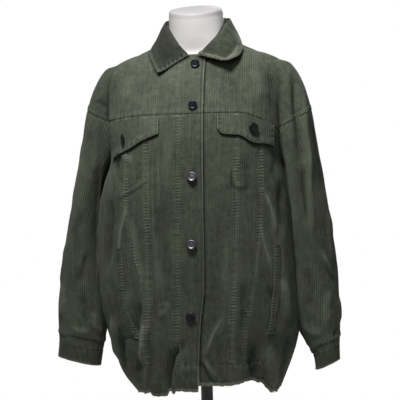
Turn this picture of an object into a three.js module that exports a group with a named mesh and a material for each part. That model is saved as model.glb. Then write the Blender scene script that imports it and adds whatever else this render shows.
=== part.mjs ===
// An oversized corduroy overshirt, buttoned up on a limbless dress form with a countertop stand.
// Millimetres, +Z up. The front faces -Y and the wearer's left is +X.
// The origin is the middle of the stand's underside.
//
// The cloth is a set of thin walls. Each wall is a grid of points on one of two surfaces: the body,
// a stack of squarish rings, and a sleeve, a stack of flattened rings that hang beside it. Where a
// sleeve meets the body the two rings are joined into one outline, which is what the yoke follows.
// Heights in the tables are measured up from the hem.
import * as THREE from "three";

// ---------------------------------------------------------------- driving sizes
const HEM = 150; // the height above the ground that every "up" is measured from
const CLOTH = 1.8; // one layer of corduroy
const DOUBLED = 3.0; // two layers and their seam allowance
const SEAM = 0.4; // the gap between pieces
const LEFT = 1;
const RIGHT = -1;
const QUARTER = Math.PI / 2;

const NECK = { front: 692, side: 724, back: 728 }; // the neckline
const YOKE = 571; // the seam under the yokes, at the middle
const YOKE_SAG = { [RIGHT]: 6, [LEFT]: 31 }; // how much lower it is at the armhole
const DROP = { [RIGHT]: 598, [LEFT]: 581 }; // the armhole seam, on the outside of the arm
const ARMPIT = 462;
const BAND = { top: 74, bottom: 20 }; // the hem band
const CUFF = { [RIGHT]: { top: 100, bottom: 68 }, [LEFT]: { top: 86, bottom: 57 } };
const BUTTON_HEIGHTS = [673, 588, 447, 313, 169];
const BUTTON = { radius: 10, rim: 3.6, dish: 2.6, shank: 2.6 };

// The body's rings: half width, how far the ring's middle is to the wearer's left, its depths in
// front of the neck's axis and behind it, and how square it is.
const BODY = [
  { up: 0, side: 145, shift: 5, front: 146, back: 136, square: 2.15 },
  { up: 20, side: 154, shift: 4, front: 146, back: 135, square: 2.2 },
  { up: 52, side: 170, shift: 1, front: 145, back: 134, square: 2.25 },
  { up: 92, side: 188, shift: -2, front: 144, back: 132, square: 2.3 },
  { up: 134, side: 199, shift: -3, front: 142, back: 129, square: 2.35 },
  { up: 194, side: 206, shift: -8, front: 140, back: 126, square: 2.4 },
  { up: 274, side: 205, shift: -12, front: 138, back: 123, square: 2.45 },
  { up: 396, side: 198, shift: -14, front: 133, back: 118, square: 2.55 },
  { up: 440, side: 189, shift: -12, front: 131, back: 118, square: 2.6 },
  { up: 484, side: 177, shift: -9, front: 128, back: 118, square: 2.7 },
  { up: 545, side: 179, shift: -9, front: 122, back: 117, square: 2.7 },
  { up: 590, side: 180, shift: -8, front: 114, back: 112, square: 2.6 },
  { up: 630, side: 181, shift: -7, front: 103, back: 105, square: 2.5 },
  { up: 660, side: 182, shift: -5, front: 92, back: 97, square: 2.35 },
  { up: 675, side: 177, shift: -3, front: 86, back: 91, square: 2.2 },
  { up: 685, side: 162, shift: -1, front: 79, back: 86, square: 2.1 },
  { up: 698, side: 131, shift: 0, front: 71, back: 79, square: 2.05 },
  { up: 706, side: 105, shift: 0, front: 65, back: 74, square: 2 },
  { up: 713, side: 88, shift: 0, front: 60, back: 70, square: 2 },
  { up: 722, side: 75, shift: 0, front: 55, back: 66, square: 2 },
  { up: 740, side: 62, shift: 0, front: 48, back: 58, square: 2 },
];

// Each sleeve's rings: how far out its outer and inner sides are, its middle and half depth from
// front to back, and how far its plane tips up on the outer side, in degrees.
const SLEEVES = {
  [RIGHT]: [
    { up: 60, outer: 315, inner: 223, middle: 4, deep: 36, tip: 14 },
    { up: 100, outer: 313, inner: 220, middle: 4, deep: 40, tip: 13 },
    { up: 150, outer: 312, inner: 218, middle: 8, deep: 50, tip: 11 },
    { up: 190, outer: 310, inner: 220, middle: 14, deep: 58, tip: 7 },
    { up: 250, outer: 305, inner: 222, middle: 19, deep: 65, tip: 3 },
    { up: 310, outer: 296, inner: 222, middle: 23, deep: 71, tip: 0 },
    { up: 370, outer: 283, inner: 218, middle: 24, deep: 75, tip: 0 },
    { up: 430, outer: 270, inner: 208, middle: 24, deep: 76, tip: 0 },
    { up: 462, outer: 263, inner: 196, middle: 24, deep: 76, tip: 0 },
    { up: 485, outer: 258, inner: 182, middle: 24, deep: 75, tip: 0 },
    { up: 520, outer: 252, inner: 170, middle: 23, deep: 72, tip: 0 },
    { up: 578, outer: 241, inner: 160, middle: 20, deep: 67, tip: 0 },
    { up: 622, outer: 228, inner: 150, middle: 16, deep: 61, tip: 0 },
    { up: 650, outer: 214, inner: 140, middle: 11, deep: 54, tip: 0 },
    { up: 668, outer: 201, inner: 130, middle: 5, deep: 46, tip: 0 },
    { up: 679, outer: 186, inner: 120, middle: 0, deep: 38, tip: 0 },
    { up: 690, outer: 144, inner: 90, middle: 0, deep: 26, tip: 0 },
    { up: 740, outer: 50, inner: 20, middle: 0, deep: 10, tip: 0 },
  ],
  [LEFT]: [
    { up: 50, outer: 277, inner: 234, middle: 4, deep: 47, tip: 24 },
    { up: 86, outer: 277, inner: 226, middle: 5, deep: 50, tip: 19 },
    { up: 130, outer: 279, inner: 206, middle: 8, deep: 54, tip: 12 },
    { up: 190, outer: 279, inner: 204, middle: 14, deep: 60, tip: 8 },
    { up: 250, outer: 275, inner: 201, middle: 19, deep: 66, tip: 3 },
    { up: 310, outer: 269, inner: 197, middle: 23, deep: 71, tip: 0 },
    { up: 370, outer: 261, inner: 191, middle: 24, deep: 75, tip: 0 },
    { up: 430, outer: 251, inner: 183, middle: 24, deep: 76, tip: 0 },
    { up: 462, outer: 246, inner: 174, middle: 24, deep: 76, tip: 0 },
    { up: 485, outer: 242, inner: 162, middle: 24, deep: 75, tip: 0 },
    { up: 520, outer: 237, inner: 152, middle: 23, deep: 72, tip: 0 },
    { up: 578, outer: 228, inner: 146, middle: 20, deep: 67, tip: 0 },
    { up: 622, outer: 218, inner: 140, middle: 16, deep: 61, tip: 0 },
    { up: 650, outer: 207, inner: 134, middle: 11, deep: 54, tip: 0 },
    { up: 668, outer: 196, inner: 126, middle: 5, deep: 46, tip: 0 },
    { up: 679, outer: 184, inner: 118, middle: 0, deep: 38, tip: 0 },
    { up: 690, outer: 144, inner: 90, middle: 0, deep: 26, tip: 0 },
    { up: 740, outer: 50, inner: 20, middle: 0, deep: 10, tip: 0 },
  ],
};

// The closing of the front, as distances around from the middle: the line of buttons, the edge that
// laps over and the edge that lies under.
const CLOSING = [
  { up: 0, buttons: -10, over: 3, under: -34 },
  { up: 143, buttons: -8, over: 10, under: -33 },
  { up: 222, buttons: -6, over: 19, under: -31 },
  { up: 399, buttons: -1, over: 21, under: -26 },
  { up: 588, buttons: 3, over: 23, under: -22 },
  { up: 700, buttons: 7, over: 26, under: -18 },
];

// The two upright seams of each front, as distances around from the middle.
const SEAMS = {
  [RIGHT]: [
    { up: 0, inner: 100, outer: 112 },
    { up: 191, inner: 89, outer: 98 },
    { up: 243, inner: 89, outer: 106 },
    { up: 311, inner: 90, outer: 126 },
    { up: 395, inner: 94, outer: 137 },
    { up: 505, inner: 93, outer: 136 },
    { up: 580, inner: 93, outer: 137 },
  ],
  [LEFT]: [
    { up: 0, inner: 70, outer: 92 },
    { up: 141, inner: 72, outer: 100 },
    { up: 180, inner: 74, outer: 107 },
    { up: 278, inner: 79, outer: 123 },
    { up: 396, inner: 84, outer: 136 },
    { up: 501, inner: 86, outer: 140 },
    { up: 580, inner: 87, outer: 141 },
  ],
};
const BACK_SEAM = [
  { up: 0, around: 64 },
  { up: 200, around: 74 },
  { up: 400, around: 86 },
  { up: 580, around: 97 },
];

// The largest folds: a ridge stands out and a trough goes in, by "out", across "wide", along a line
// from x "from" at its top to x "to" at its bottom. face is -1 on the front and 1 on the back.
const FOLDS = [
  { face: -1, from: -93, to: -99, top: 420, bottom: 0, out: 11, wide: 18 },
  { face: -1, from: -116, to: -124, top: 130, bottom: 0, out: -10, wide: 18 },
  { face: -1, from: -46, to: -62, top: 150, bottom: 0, out: -9, wide: 18 },
  { face: -1, from: 40, to: 46, top: 260, bottom: 0, out: -8, wide: 22 },
  { face: -1, from: 78, to: 82, top: 330, bottom: 0, out: 8, wide: 24 },
  { face: -1, from: 118, to: 114, top: 200, bottom: 0, out: -9, wide: 20 },
  { face: 1, from: -122, to: -104, top: 440, bottom: 0, out: 11, wide: 26 },
  { face: 1, from: -60, to: -52, top: 420, bottom: 0, out: -9, wide: 24 },
  { face: 1, from: 4, to: -4, top: 380, bottom: 0, out: 10, wide: 28 },
  { face: 1, from: 60, to: 52, top: 430, bottom: 0, out: -10, wide: 24 },
  { face: 1, from: 120, to: 106, top: 440, bottom: 0, out: 11, wide: 26 },
];

// Each pocket flap: its top edge and its shaped bottom edge, at distances around from the middle.
const FLAPS = {
  [RIGHT]: {
    rows: [
      { around: 67, top: 565, bottom: 533 },
      { around: 99, top: 564, bottom: 521 },
      { around: 137, top: 562, bottom: 503 },
      { around: 184, top: 560, bottom: 488 },
    ],
    button: { around: 141, up: 527 },
  },
  [LEFT]: {
    rows: [
      { around: 51, top: 565, bottom: 540 },
      { around: 60, top: 564, bottom: 530 },
      { around: 96, top: 562, bottom: 525 },
      { around: 122, top: 559, bottom: 511 },
      { around: 153, top: 554, bottom: 508 },
      { around: 176, top: 546, bottom: 504 },
    ],
    button: { around: 122, up: 539 },
  },
};

// Each hand pocket's welt, a strip between two distances around from the middle.
const WELTS = {
  [RIGHT]: [
    { up: 126, inner: 124, outer: 138 },
    { up: 192, inner: 148, outer: 163 },
    { up: 245, inner: 152, outer: 168 },
    { up: 306, inner: 152, outer: 168 },
  ],
  [LEFT]: [
    { up: 131, inner: 150, outer: 166 },
    { up: 185, inner: 160, outer: 174 },
    { up: 235, inner: 163, outer: 176 },
    { up: 306, inner: 167, outer: 180 },
  ],
};

// The collar's fold, from its front end to the middle of the back, and the leaf's outer edge.
const CREST = [
  { x: 21, y: -77, up: 697 },
  { x: 31, y: -71, up: 714 },
  { x: 46, y: -55, up: 735 },
  { x: 60, y: -30, up: 754 },
  { x: 65, y: 2, up: 768 },
  { x: 50, y: 38, up: 774 },
  { x: 0, y: 60, up: 776 },
];
const LEAF = {
  [RIGHT]: [
    { x: 76, y: -99, up: 664 },
    { x: 86, y: -80, up: 682 },
    { x: 94, y: -52, up: 703 },
    { x: 94, y: -12, up: 717 },
    { x: 88, y: 30, up: 721 },
    { x: 60, y: 68, up: 722 },
    { x: 0, y: 84, up: 720 },
  ],
  [LEFT]: [
    { x: 76, y: -108, up: 677 },
    { x: 93, y: -88, up: 687 },
    { x: 99, y: -54, up: 703 },
    { x: 94, y: -12, up: 717 },
    { x: 88, y: 30, up: 721 },
    { x: 60, y: 68, up: 722 },
    { x: 0, y: 84, up: 720 },
  ],
};

// The dress form's rings, as the body's, with how far the neck leans and how far its top slants.
const FORM = [
  { up: 130, side: 118, shift: 0, lean: 0, front: 78, back: 78, square: 2.1, slant: 0 },
  { up: 138, side: 124, shift: 0, lean: 0, front: 84, back: 84, square: 2.1, slant: 0 },
  { up: 200, side: 142, shift: 0, lean: 0, front: 100, back: 98, square: 2.2, slant: 0 },
  { up: 290, side: 132, shift: 0, lean: 0, front: 98, back: 90, square: 2.2, slant: 0 },
  { up: 360, side: 128, shift: 0, lean: 0, front: 96, back: 86, square: 2.2, slant: 0 },
  { up: 460, side: 150, shift: -2, lean: 0, front: 106, back: 94, square: 2.3, slant: 0 },
  { up: 560, side: 158, shift: -3, lean: 0, front: 98, back: 94, square: 2.4, slant: 0 },
  { up: 620, side: 160, shift: -4, lean: 0, front: 88, back: 90, square: 2.4, slant: 0 },
  { up: 658, side: 161, shift: -4, lean: 0, front: 81, back: 85, square: 2.3, slant: 0 },
  { up: 673, side: 157, shift: -3, lean: 0, front: 76, back: 81, square: 2.2, slant: 0 },
  { up: 683, side: 145, shift: -1, lean: 0, front: 71, back: 78, square: 2.1, slant: 0 },
  { up: 694, side: 120, shift: 0, lean: 0, front: 65, back: 72, square: 2, slant: 0 },
  { up: 702, side: 92, shift: 0, lean: -2, front: 59, back: 63, square: 2, slant: 0 },
  { up: 711, side: 70, shift: 0, lean: -5, front: 57, back: 57, square: 2, slant: 0 },
  { up: 725, side: 61, shift: 0, lean: -9, front: 55, back: 55, square: 2, slant: 4 },
  { up: 750, side: 57, shift: 0, lean: -13, front: 55, back: 55, square: 2, slant: 11 },
  { up: 788, side: 57, shift: 0, lean: -18, front: 56, back: 56, square: 2, slant: 19 },
  { up: 792, side: 54, shift: 0, lean: -19, front: 53, back: 53, square: 2, slant: 19 },
];
const STAND = { pole: 12.5, flange: 40, flangeThick: 5, base: 150, baseThick: 12, boss: 24 };

// ---------------------------------------------------------------- reading the tables
const mix = (a, b, share) => a + (b - a) * share;
const clamp = (value, low, high) => Math.min(high, Math.max(low, value));
const ease = (share) => {
  const t = clamp(share, 0, 1);
  return t * t * (3 - 2 * t);
};
const steps = (count) => Array.from({ length: count + 1 }, (_, i) => i / count);

// A table's columns at a height, or at any key, on a smooth curve through its rows.
function read(table, key, name = "up") {
  const last = table.length - 2;
  let i = table.findIndex((row) => row[name] > key) - 1;
  if (i < -1) i = last;
  i = clamp(i, 0, last);
  const [before, low] = [table[Math.max(i - 1, 0)], table[i]];
  const [high, after] = [table[i + 1], table[Math.min(i + 2, last + 1)]];
  const span = high[name] - low[name];
  const t = clamp((key - low[name]) / span, 0, 1);
  const values = {};
  for (const column of Object.keys(low)) {
    const slopeLow = (high[column] - before[column]) / (high[name] - before[name]);
    const slopeHigh = (after[column] - low[column]) / (after[name] - low[name]);
    values[column] =
      low[column] * (2 * t ** 3 - 3 * t ** 2 + 1) +
      high[column] * (3 * t ** 2 - 2 * t ** 3) +
      span * (slopeLow * (t ** 3 - 2 * t ** 2 + t) + slopeHigh * (t ** 3 - t ** 2));
  }
  return values;
}

// ---------------------------------------------------------------- the body's surface
const power = (value, p) => Math.sign(value) * Math.abs(value) ** p;

// turn is 0 at the centre front, a quarter turn at the side and a half turn at the centre back.
function onRing(ring, turn, hand) {
  const p = 2 / ring.square;
  const depth = Math.cos(turn) > 0 ? ring.front : ring.back;
  return new THREE.Vector3(
    ring.shift + hand * ring.side * power(Math.sin(turn), p),
    -depth * power(Math.cos(turn), p),
    HEM + ring.up,
  );
}

// How far the folds push a point of the body out.
function folded(point) {
  const up = point.z - HEM;
  const face = point.y < 0 ? -1 : 1;
  let out = 0;
  for (const fold of FOLDS.filter((row) => row.face === face)) {
    const along = (fold.top - up) / (fold.top - fold.bottom);
    const line = mix(fold.from, fold.to, clamp(along, 0, 1));
    const across = (point.x - line) / fold.wide;
    out += fold.out * ease(along * 1.6) * Math.exp(-across * across);
  }
  return out;
}

function bodyPoint(turn, up, hand) {
  const ring = read(BODY, up);
  const point = onRing(ring, turn, hand);
  const near = 0.01;
  const along = onRing(ring, turn + near, hand).sub(onRing(ring, turn - near, hand));
  const outward = new THREE.Vector3(along.y, -along.x, 0).normalize().multiplyScalar(hand);
  return point.addScaledVector(outward, folded(point));
}

// ---------------------------------------------------------------- a sleeve's surface
// around is 0 at a sleeve's front, a quarter turn on its outer side and less on its inner side.
const SLEEVE_ROUND = 0.92;
function sleevePoint(around, up, hand) {
  const ring = read(SLEEVES[hand], up);
  const wide = (ring.outer - ring.inner) / 2;
  const across = wide * power(Math.sin(around), SLEEVE_ROUND);
  return new THREE.Vector3(
    hand * (ring.inner + wide + across),
    ring.middle - ring.deep * power(Math.cos(around), SLEEVE_ROUND),
    HEM + up + across * Math.tan(THREE.MathUtils.degToRad(ring.tip)),
  );
}

// Where a sleeve leaves the body at a height, on the front or on the back: the turn on the body and
// the angle around the sleeve. Below the armpit the sleeve is clear of the body all round.
function valley(up, hand, face) {
  const ring = read(BODY, up);
  const facing = (around) => (face < 0 ? around : Math.PI - around);
  const shares = (point) => {
    const depth = point.y < 0 ? ring.front : ring.back;
    return [
      Math.abs((point.x - ring.shift) / ring.side) ** (ring.square / 2),
      Math.abs(point.y / depth) ** (ring.square / 2),
    ];
  };
  const clear = (around) => {
    const [x, y] = shares(sleevePoint(facing(around), up, hand));
    return x * x + y * y > 1;
  };
  if (!clear(QUARTER)) return { turn: QUARTER, around: QUARTER, lobe: false };
  let [out, inside] = [QUARTER, QUARTER];
  while (inside > -QUARTER && clear(inside)) {
    out = inside;
    inside = Math.max(inside - 0.05, -QUARTER);
  }
  if (clear(inside)) out = inside;
  for (let i = 0; i < 30 && inside < out; i++) {
    const half = (out + inside) / 2;
    if (clear(half)) out = half;
    else inside = half;
  }
  const point = sleevePoint(facing(out), up, hand);
  const [x, y] = shares(point);
  return { turn: Math.atan2(x, -Math.sign(point.y) * y), around: facing(out), lobe: true };
}

// ---------------------------------------------------------------- outlines
const kept = (make) => {
  const made = new Map();
  return (up, hand, face) => {
    const key = `${up.toFixed(4)} ${hand} ${face}`;
    if (!made.has(key)) made.set(key, make(up, hand, face));
    return made.get(key);
  };
};
function measured(points) {
  const arcs = [0];
  for (let i = 1; i < points.length; i++) arcs.push(arcs[i - 1] + points[i].distanceTo(points[i - 1]));
  return { points, arcs };
}
function alongOutline({ points, arcs }, arc) {
  let i = arcs.findIndex((value) => value >= arc);
  i = i < 0 ? arcs.length - 1 : Math.max(i, 1);
  const share = (arc - arcs[i - 1]) / (arcs[i] - arcs[i - 1] || 1);
  return points[i - 1].clone().lerp(points[i], share);
}

// The sleeve's half of an outline, from where it leaves the body to its outer side.
const lobe = kept((up, hand, face) => {
  const { around } = valley(up, hand, face);
  return measured(steps(80).map((t) => sleevePoint(mix(around, QUARTER, t), up, hand)));
});

// Half the body and then the sleeve beside it, from a little past the middle to the outer side of
// the arm. The distances along it count from the middle.
const PAST_MIDDLE = 0.5;
const outline = kept((up, hand, face) => {
  const start = face < 0 ? -PAST_MIDDLE : Math.PI + PAST_MIDDLE;
  const leaves = valley(up, hand, face);
  const points = steps(240).map((t) => bodyPoint(mix(start, leaves.turn, t), up, hand));
  const corner = points.length - 1;
  if (leaves.lobe) points.push(...lobe(up, hand, face).points.slice(1));
  const line = measured(points);
  const i = points.findIndex((point) => hand * point.x >= 0);
  const [before, after] = [points[i - 1].x, points[i].x];
  const middle = mix(line.arcs[i - 1], line.arcs[i], before / (before - after));
  line.arcs = line.arcs.map((arc) => arc - middle);
  return { ...line, corner: points[corner], valley: line.arcs[corner], total: line.arcs.at(-1) };
});

// A point on an outline. Over the shoulder the corner where the sleeve leaves the body is rounded.
const CORNER = { round: 34, top: 675 };
function outlinePoint(up, hand, face, arc) {
  const line = outline(up, hand, face);
  const reach = Math.min(
    CORNER.round * ease((up - YOKE) / (CORNER.top - YOKE)),
    (line.total - line.valley) * 0.95,
  );
  const t = (arc - line.valley + reach) / (2 * reach);
  if (reach < 0.5 || t <= 0 || t >= 1) return alongOutline(line, arc);
  const [from, to] = [alongOutline(line, line.valley - reach), alongOutline(line, line.valley + reach)];
  return from.lerp(line.corner, t).lerp(line.corner.clone().lerp(to, t), t);
}

// ---------------------------------------------------------------- walls
// A closed wall whose outer face is place(u, v), for u and v from 0 to 1, at the given rows and
// columns. v runs down and u runs to the right as seen from outside. Its normals come from place
// itself, so that two walls that share a seam meet square on.
function wall(place, across, down, thick = CLOTH, lift = 0) {
  const near = 0.004;
  const normalAt = (u, v) => {
    const [left, right] = [clamp(u - near, 0, 1), clamp(u + near, 0, 1)];
    const [top, low] = [clamp(v - near, 0, 1), clamp(v + near, 0, 1)];
    const du = place(right, v).sub(place(left, v));
    const dv = place(u, low).sub(place(u, top));
    return dv.cross(du).normalize();
  };
  const positions = [];
  const inward = [];
  for (const v of down) {
    for (const u of across) {
      const normal = normalAt(u, v);
      const outer = place(u, v).addScaledVector(normal, lift);
      positions.push(...outer);
      inward.push(...outer.addScaledVector(normal, -thick));
    }
  }
  positions.push(...inward);
  const [columns, rows] = [across.length, down.length];
  const outer = (i, j) => i * columns + j;
  const inner = (i, j) => rows * columns + outer(i, j);
  const faces = [];
  const quad = (a, b, c, d) => faces.push(a, b, c, a, c, d);
  for (let i = 0; i + 1 < rows; i++) {
    for (let j = 0; j + 1 < columns; j++) {
      quad(outer(i, j), outer(i + 1, j), outer(i + 1, j + 1), outer(i, j + 1));
      quad(inner(i, j), inner(i, j + 1), inner(i + 1, j + 1), inner(i + 1, j));
    }
    const end = columns - 1;
    quad(inner(i, 0), inner(i + 1, 0), outer(i + 1, 0), outer(i, 0));
    quad(outer(i, end), outer(i + 1, end), inner(i + 1, end), inner(i, end));
  }
  for (let j = 0; j + 1 < columns; j++) {
    const end = rows - 1;
    quad(outer(0, j), outer(0, j + 1), inner(0, j + 1), inner(0, j));
    quad(inner(end, j), inner(end, j + 1), outer(end, j + 1), outer(end, j));
  }
  const geometry = new THREE.BufferGeometry();
  geometry.setAttribute("position", new THREE.Float32BufferAttribute(positions, 3));
  geometry.setIndex(faces);
  return geometry;
}

// u runs away from the middle in the places below, which is to the right, seen from outside, only on
// the wearer's left of the front and the wearer's right of the back.
const seen = (place, hand, face = -1) => (hand * face < 0 ? place : (u, v) => place(1 - u, v));

// ---------------------------------------------------------------- materials
const finish = (color, roughness, metalness = 0) =>
  new THREE.MeshStandardMaterial({ color, roughness, metalness });
const corduroy = finish(0x4b5141, 0.95);
const gunmetal = finish(0x2c2d31, 0.35, 0.9);
const formShell = finish(0xdedad8, 0.5);
const blackMetal = finish(0x111112, 0.4, 0.6);

const overshirt = new THREE.Group();
function add(name, geometry, material) {
  const mesh = new THREE.Mesh(geometry, material);
  mesh.name = name;
  overshirt.add(mesh);
  return mesh;
}
const side = (hand) => (hand === LEFT ? "left" : "right");

// ---------------------------------------------------------------- the closing
// The right front laps over the left one, so it is lifted off the body's surface there.
const LAP = { past: 22, ramp: 20, lift: CLOTH + 3 * SEAM };
function lapped(point, hand) {
  if (hand === LEFT || point.y > 0) return point;
  const { under } = read(CLOSING, point.z - HEM);
  point.y -= LAP.lift * ease((point.x - under + LAP.past + LAP.ramp) / LAP.ramp);
  return point;
}
// Where a front begins, as a distance around from the middle towards its own side.
const frontEdge = (hand, up) => {
  const { over, under } = read(CLOSING, up);
  return hand === RIGHT ? -over : under;
};

// ---------------------------------------------------------------- yokes
const YOKE_ROWS = [0, 0.09, 0.18, 0.26, 0.34, 0.43, 0.53, 0.65, 0.78, 0.9, 1];
const YOKE_COLUMNS = 13;
const BODY_COLUMNS = 8; // as far as the line where the sleeve leaves the body
const SPLIT = BODY_COLUMNS / YOKE_COLUMNS;
const NECK_FLAT = 0.14; // the share of a front yoke that its level neckline takes

const firstAround = (hand, face, up) => (face < 0 ? frontEdge(hand, up) : 0);

// The height of the seam under a yoke at a share of the way to the armhole. It is straight from one
// of the yoke's columns to the next, so that the panels below can follow it.
function seamHeight(hand, face, share) {
  const sag = face < 0 ? YOKE_SAG[hand] : YOKE_SAG[RIGHT];
  const at = (column) => YOKE - sag * ease((column / BODY_COLUMNS) * 2 - 1);
  const column = clamp(Math.floor(share * BODY_COLUMNS), 0, BODY_COLUMNS - 1);
  return mix(at(column), at(column + 1), share * BODY_COLUMNS - column);
}
// The height of a yoke's lower edge at one of its columns. Beyond the body it is the armhole seam.
function yokeLow(hand, face, u) {
  const low = seamHeight(hand, face, Math.min(u / SPLIT, 1));
  return mix(low, DROP[hand], Math.sin(clamp((u - SPLIT) / (1 - SPLIT), 0, 1) * QUARTER));
}
// Where a column of a yoke lies on the outline at a height.
function yokeAround(hand, face, u, up) {
  const line = outline(up, hand, face);
  const start = firstAround(hand, face, up);
  const end = line.total - SEAM / 2;
  const most = mix(0.84, 0.65, ease((up - 678) / 50));
  const split = Math.min(most, (line.valley - start) / (end - start));
  const share = u < SPLIT ? (u / SPLIT) * split : mix(split, 1, (u - SPLIT) / (1 - SPLIT));
  return mix(start, end, share);
}
function yokePoint(hand, face, u, v) {
  const [neck, flat] = face < 0 ? [NECK.front, NECK_FLAT] : [NECK.back, 0];
  const rise = Math.sin(clamp((u - flat) / (1 - flat), 0, 1) * QUARTER);
  const up = mix(mix(neck, NECK.side, rise), yokeLow(hand, face, u) + SEAM, v);
  return lapped(outlinePoint(up, hand, face, yokeAround(hand, face, u, up)), hand);
}
for (const hand of [RIGHT, LEFT]) {
  const place = seen((u, v) => yokePoint(hand, -1, u, v), hand);
  add(`front_yoke_${side(hand)}`, wall(place, steps(YOKE_COLUMNS), YOKE_ROWS), corduroy);
}
const backYokePoint = (u, v) => yokePoint(u < 0.5 ? LEFT : RIGHT, 1, Math.abs(1 - 2 * u), v);
add("back_yoke", wall(backYokePoint, steps(2 * YOKE_COLUMNS), YOKE_ROWS), corduroy);

// ---------------------------------------------------------------- body panels
// Rows that every panel and sleeve share down to the armpit, so that they meet along the armhole.
const OPEN_ROWS = 4;
const LOW_ROWS = 8;
const PANEL_ROWS = steps(OPEN_ROWS + LOW_ROWS);
const ARMPIT_ROW = OPEN_ROWS / (OPEN_ROWS + LOW_ROWS);
function heightAt(v, top, bottom) {
  if (v < ARMPIT_ROW) return mix(top, ARMPIT, v / ARMPIT_ROW);
  return mix(ARMPIT, bottom, (v - ARMPIT_ROW) / (1 - ARMPIT_ROW));
}

const backSeam = (up) => read(BACK_SEAM, up).around;
const sideSeam = (hand, face, up) => outline(up, hand, face).valley;
// The upright seams of half the front or half the back, from the middle to the side, and the number
// of columns between each and the next.
const EDGES = {
  [-1]: {
    columns: [7, 3, 6],
    at: (hand, up) => {
      const { inner, outer } = read(SEAMS[hand], up);
      return [frontEdge(hand, up), inner, outer, sideSeam(hand, -1, up)];
    },
  },
  1: { columns: [5, 6], at: (hand, up) => [0, backSeam(up), sideSeam(hand, 1, up)] },
};

// A point of a panel, a share u of the way from one seam to the next.
function panelPoint(hand, face, panel, u, v) {
  const [first, ...others] = EDGES[face].at(hand, YOKE);
  const around = mix([first, ...others][panel], others[panel], u);
  const top = seamHeight(hand, face, (around - first) / (others.at(-1) - first));
  const up = heightAt(v, top, BAND.top + SEAM / 2);
  return outlinePoint(up, hand, face, betweenSeams(hand, face, panel, u, up));
}
function betweenSeams(hand, face, panel, u, up) {
  const edges = EDGES[face].at(hand, up);
  const opening = panel === 0 ? 0 : SEAM / 2;
  return mix(edges[panel] + opening, edges[panel + 1] - SEAM / 2, u);
}
function addPanel(name, hand, face, panel) {
  const place = seen((u, v) => lapped(panelPoint(hand, face, panel, u, v), hand), hand, face);
  const columns = EDGES[face].columns[panel];
  add(`${name}_${side(hand)}`, wall(place, steps(columns), PANEL_ROWS), corduroy);
}
for (const hand of [RIGHT, LEFT]) {
  addPanel("front_centre", hand, -1, 0);
  addPanel("front_wedge", hand, -1, 1);
  addPanel("front_side", hand, -1, 2);
  addPanel("back_side", hand, 1, 1);
}
const backCentrePoint = (u, v) => panelPoint(u < 0.5 ? LEFT : RIGHT, 1, 0, Math.abs(1 - 2 * u), v);
add("back_centre", wall(backCentrePoint, steps(2 * EDGES[1].columns[0]), PANEL_ROWS), corduroy);

// ---------------------------------------------------------------- hem band
const BAND_ROWS = steps(3);
const total = (columns) => columns.reduce((sum, count) => sum + count, 0);
// The band's columns follow those of the panels above it.
function bandPoint(hand, face, u, v) {
  const { columns } = EDGES[face];
  const up = mix(BAND.top - SEAM / 2, BAND.bottom, v);
  let column = u * total(columns);
  let panel = 0;
  while (panel < columns.length - 1 && column > columns[panel]) column -= columns[panel++];
  const edges = EDGES[face].at(hand, up);
  edges.push(edges.pop() - SEAM / 2);
  const around = mix(edges[panel], edges[panel + 1], column / columns[panel]);
  return lapped(outlinePoint(up, hand, face, around), hand);
}
for (const hand of [RIGHT, LEFT]) {
  const place = seen((u, v) => bandPoint(hand, -1, u, v), hand);
  add(`front_band_${side(hand)}`, wall(place, steps(total(EDGES[-1].columns)), BAND_ROWS), corduroy);
}
const backBandPoint = (u, v) => bandPoint(u < 0.5 ? LEFT : RIGHT, 1, Math.abs(1 - 2 * u), v);
add("back_band", wall(backBandPoint, steps(2 * total(EDGES[1].columns)), BAND_ROWS), corduroy);

// ---------------------------------------------------------------- sleeves
// Each sleeve and cuff is one strip, rolled up and seamed under the arm: u runs from the seam or the
// armhole at the front, round the outer side, to the seam or the armhole at the back.
function rolledPoint(hand, u, up) {
  const face = u < 0.5 ? -1 : 1;
  const half = lobe(up, hand, face);
  const length = half.arcs.at(-1);
  return alongOutline(half, mix(SEAM, length, 1 - Math.abs(1 - 2 * u)));
}
function sleeveTop(hand, u) {
  const yokeColumn = mix(SPLIT, 1, 1 - Math.abs(1 - 2 * u));
  return yokeLow(hand, u < 0.5 ? -1 : 1, yokeColumn) - SEAM / 2;
}
const CUFF_ROWS = steps(2);
for (const hand of [RIGHT, LEFT]) {
  const { top, bottom } = CUFF[hand];
  const sleeve = (u, v) => rolledPoint(hand, u, heightAt(v, sleeveTop(hand, u), top + SEAM / 2));
  add(`sleeve_${side(hand)}`, wall(seen(sleeve, hand), steps(16), PANEL_ROWS), corduroy);
  const cuff = (u, v) => rolledPoint(hand, u, mix(top - SEAM / 2, bottom, v));
  add(`cuff_${side(hand)}`, wall(seen(cuff, hand), steps(16), CUFF_ROWS, DOUBLED), corduroy);
}

// ---------------------------------------------------------------- flaps and welts
const PATCH_GAP = 0.9;
for (const hand of [RIGHT, LEFT]) {
  const { rows } = FLAPS[hand];
  const flap = (u, v) => {
    const around = mix(rows[0].around, rows.at(-1).around, u);
    const { top, bottom } = read(rows, around, "around");
    return lapped(outlinePoint(mix(top, bottom, v), hand, -1, around), hand);
  };
  const flapWall = wall(seen(flap, hand), steps(8), steps(3), DOUBLED, DOUBLED + PATCH_GAP);
  add(`pocket_flap_${side(hand)}`, flapWall, corduroy);
  const welt = (u, v) => {
    const up = mix(WELTS[hand].at(-1).up, WELTS[hand][0].up, v);
    const { inner, outer } = read(WELTS[hand], up);
    return outlinePoint(up, hand, -1, mix(inner, outer, u));
  };
  const weltWall = wall(seen(welt, hand), steps(2), steps(8), CLOTH, CLOTH + PATCH_GAP);
  add(`hand_pocket_welt_${side(hand)}`, weltWall, corduroy);
}

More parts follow.
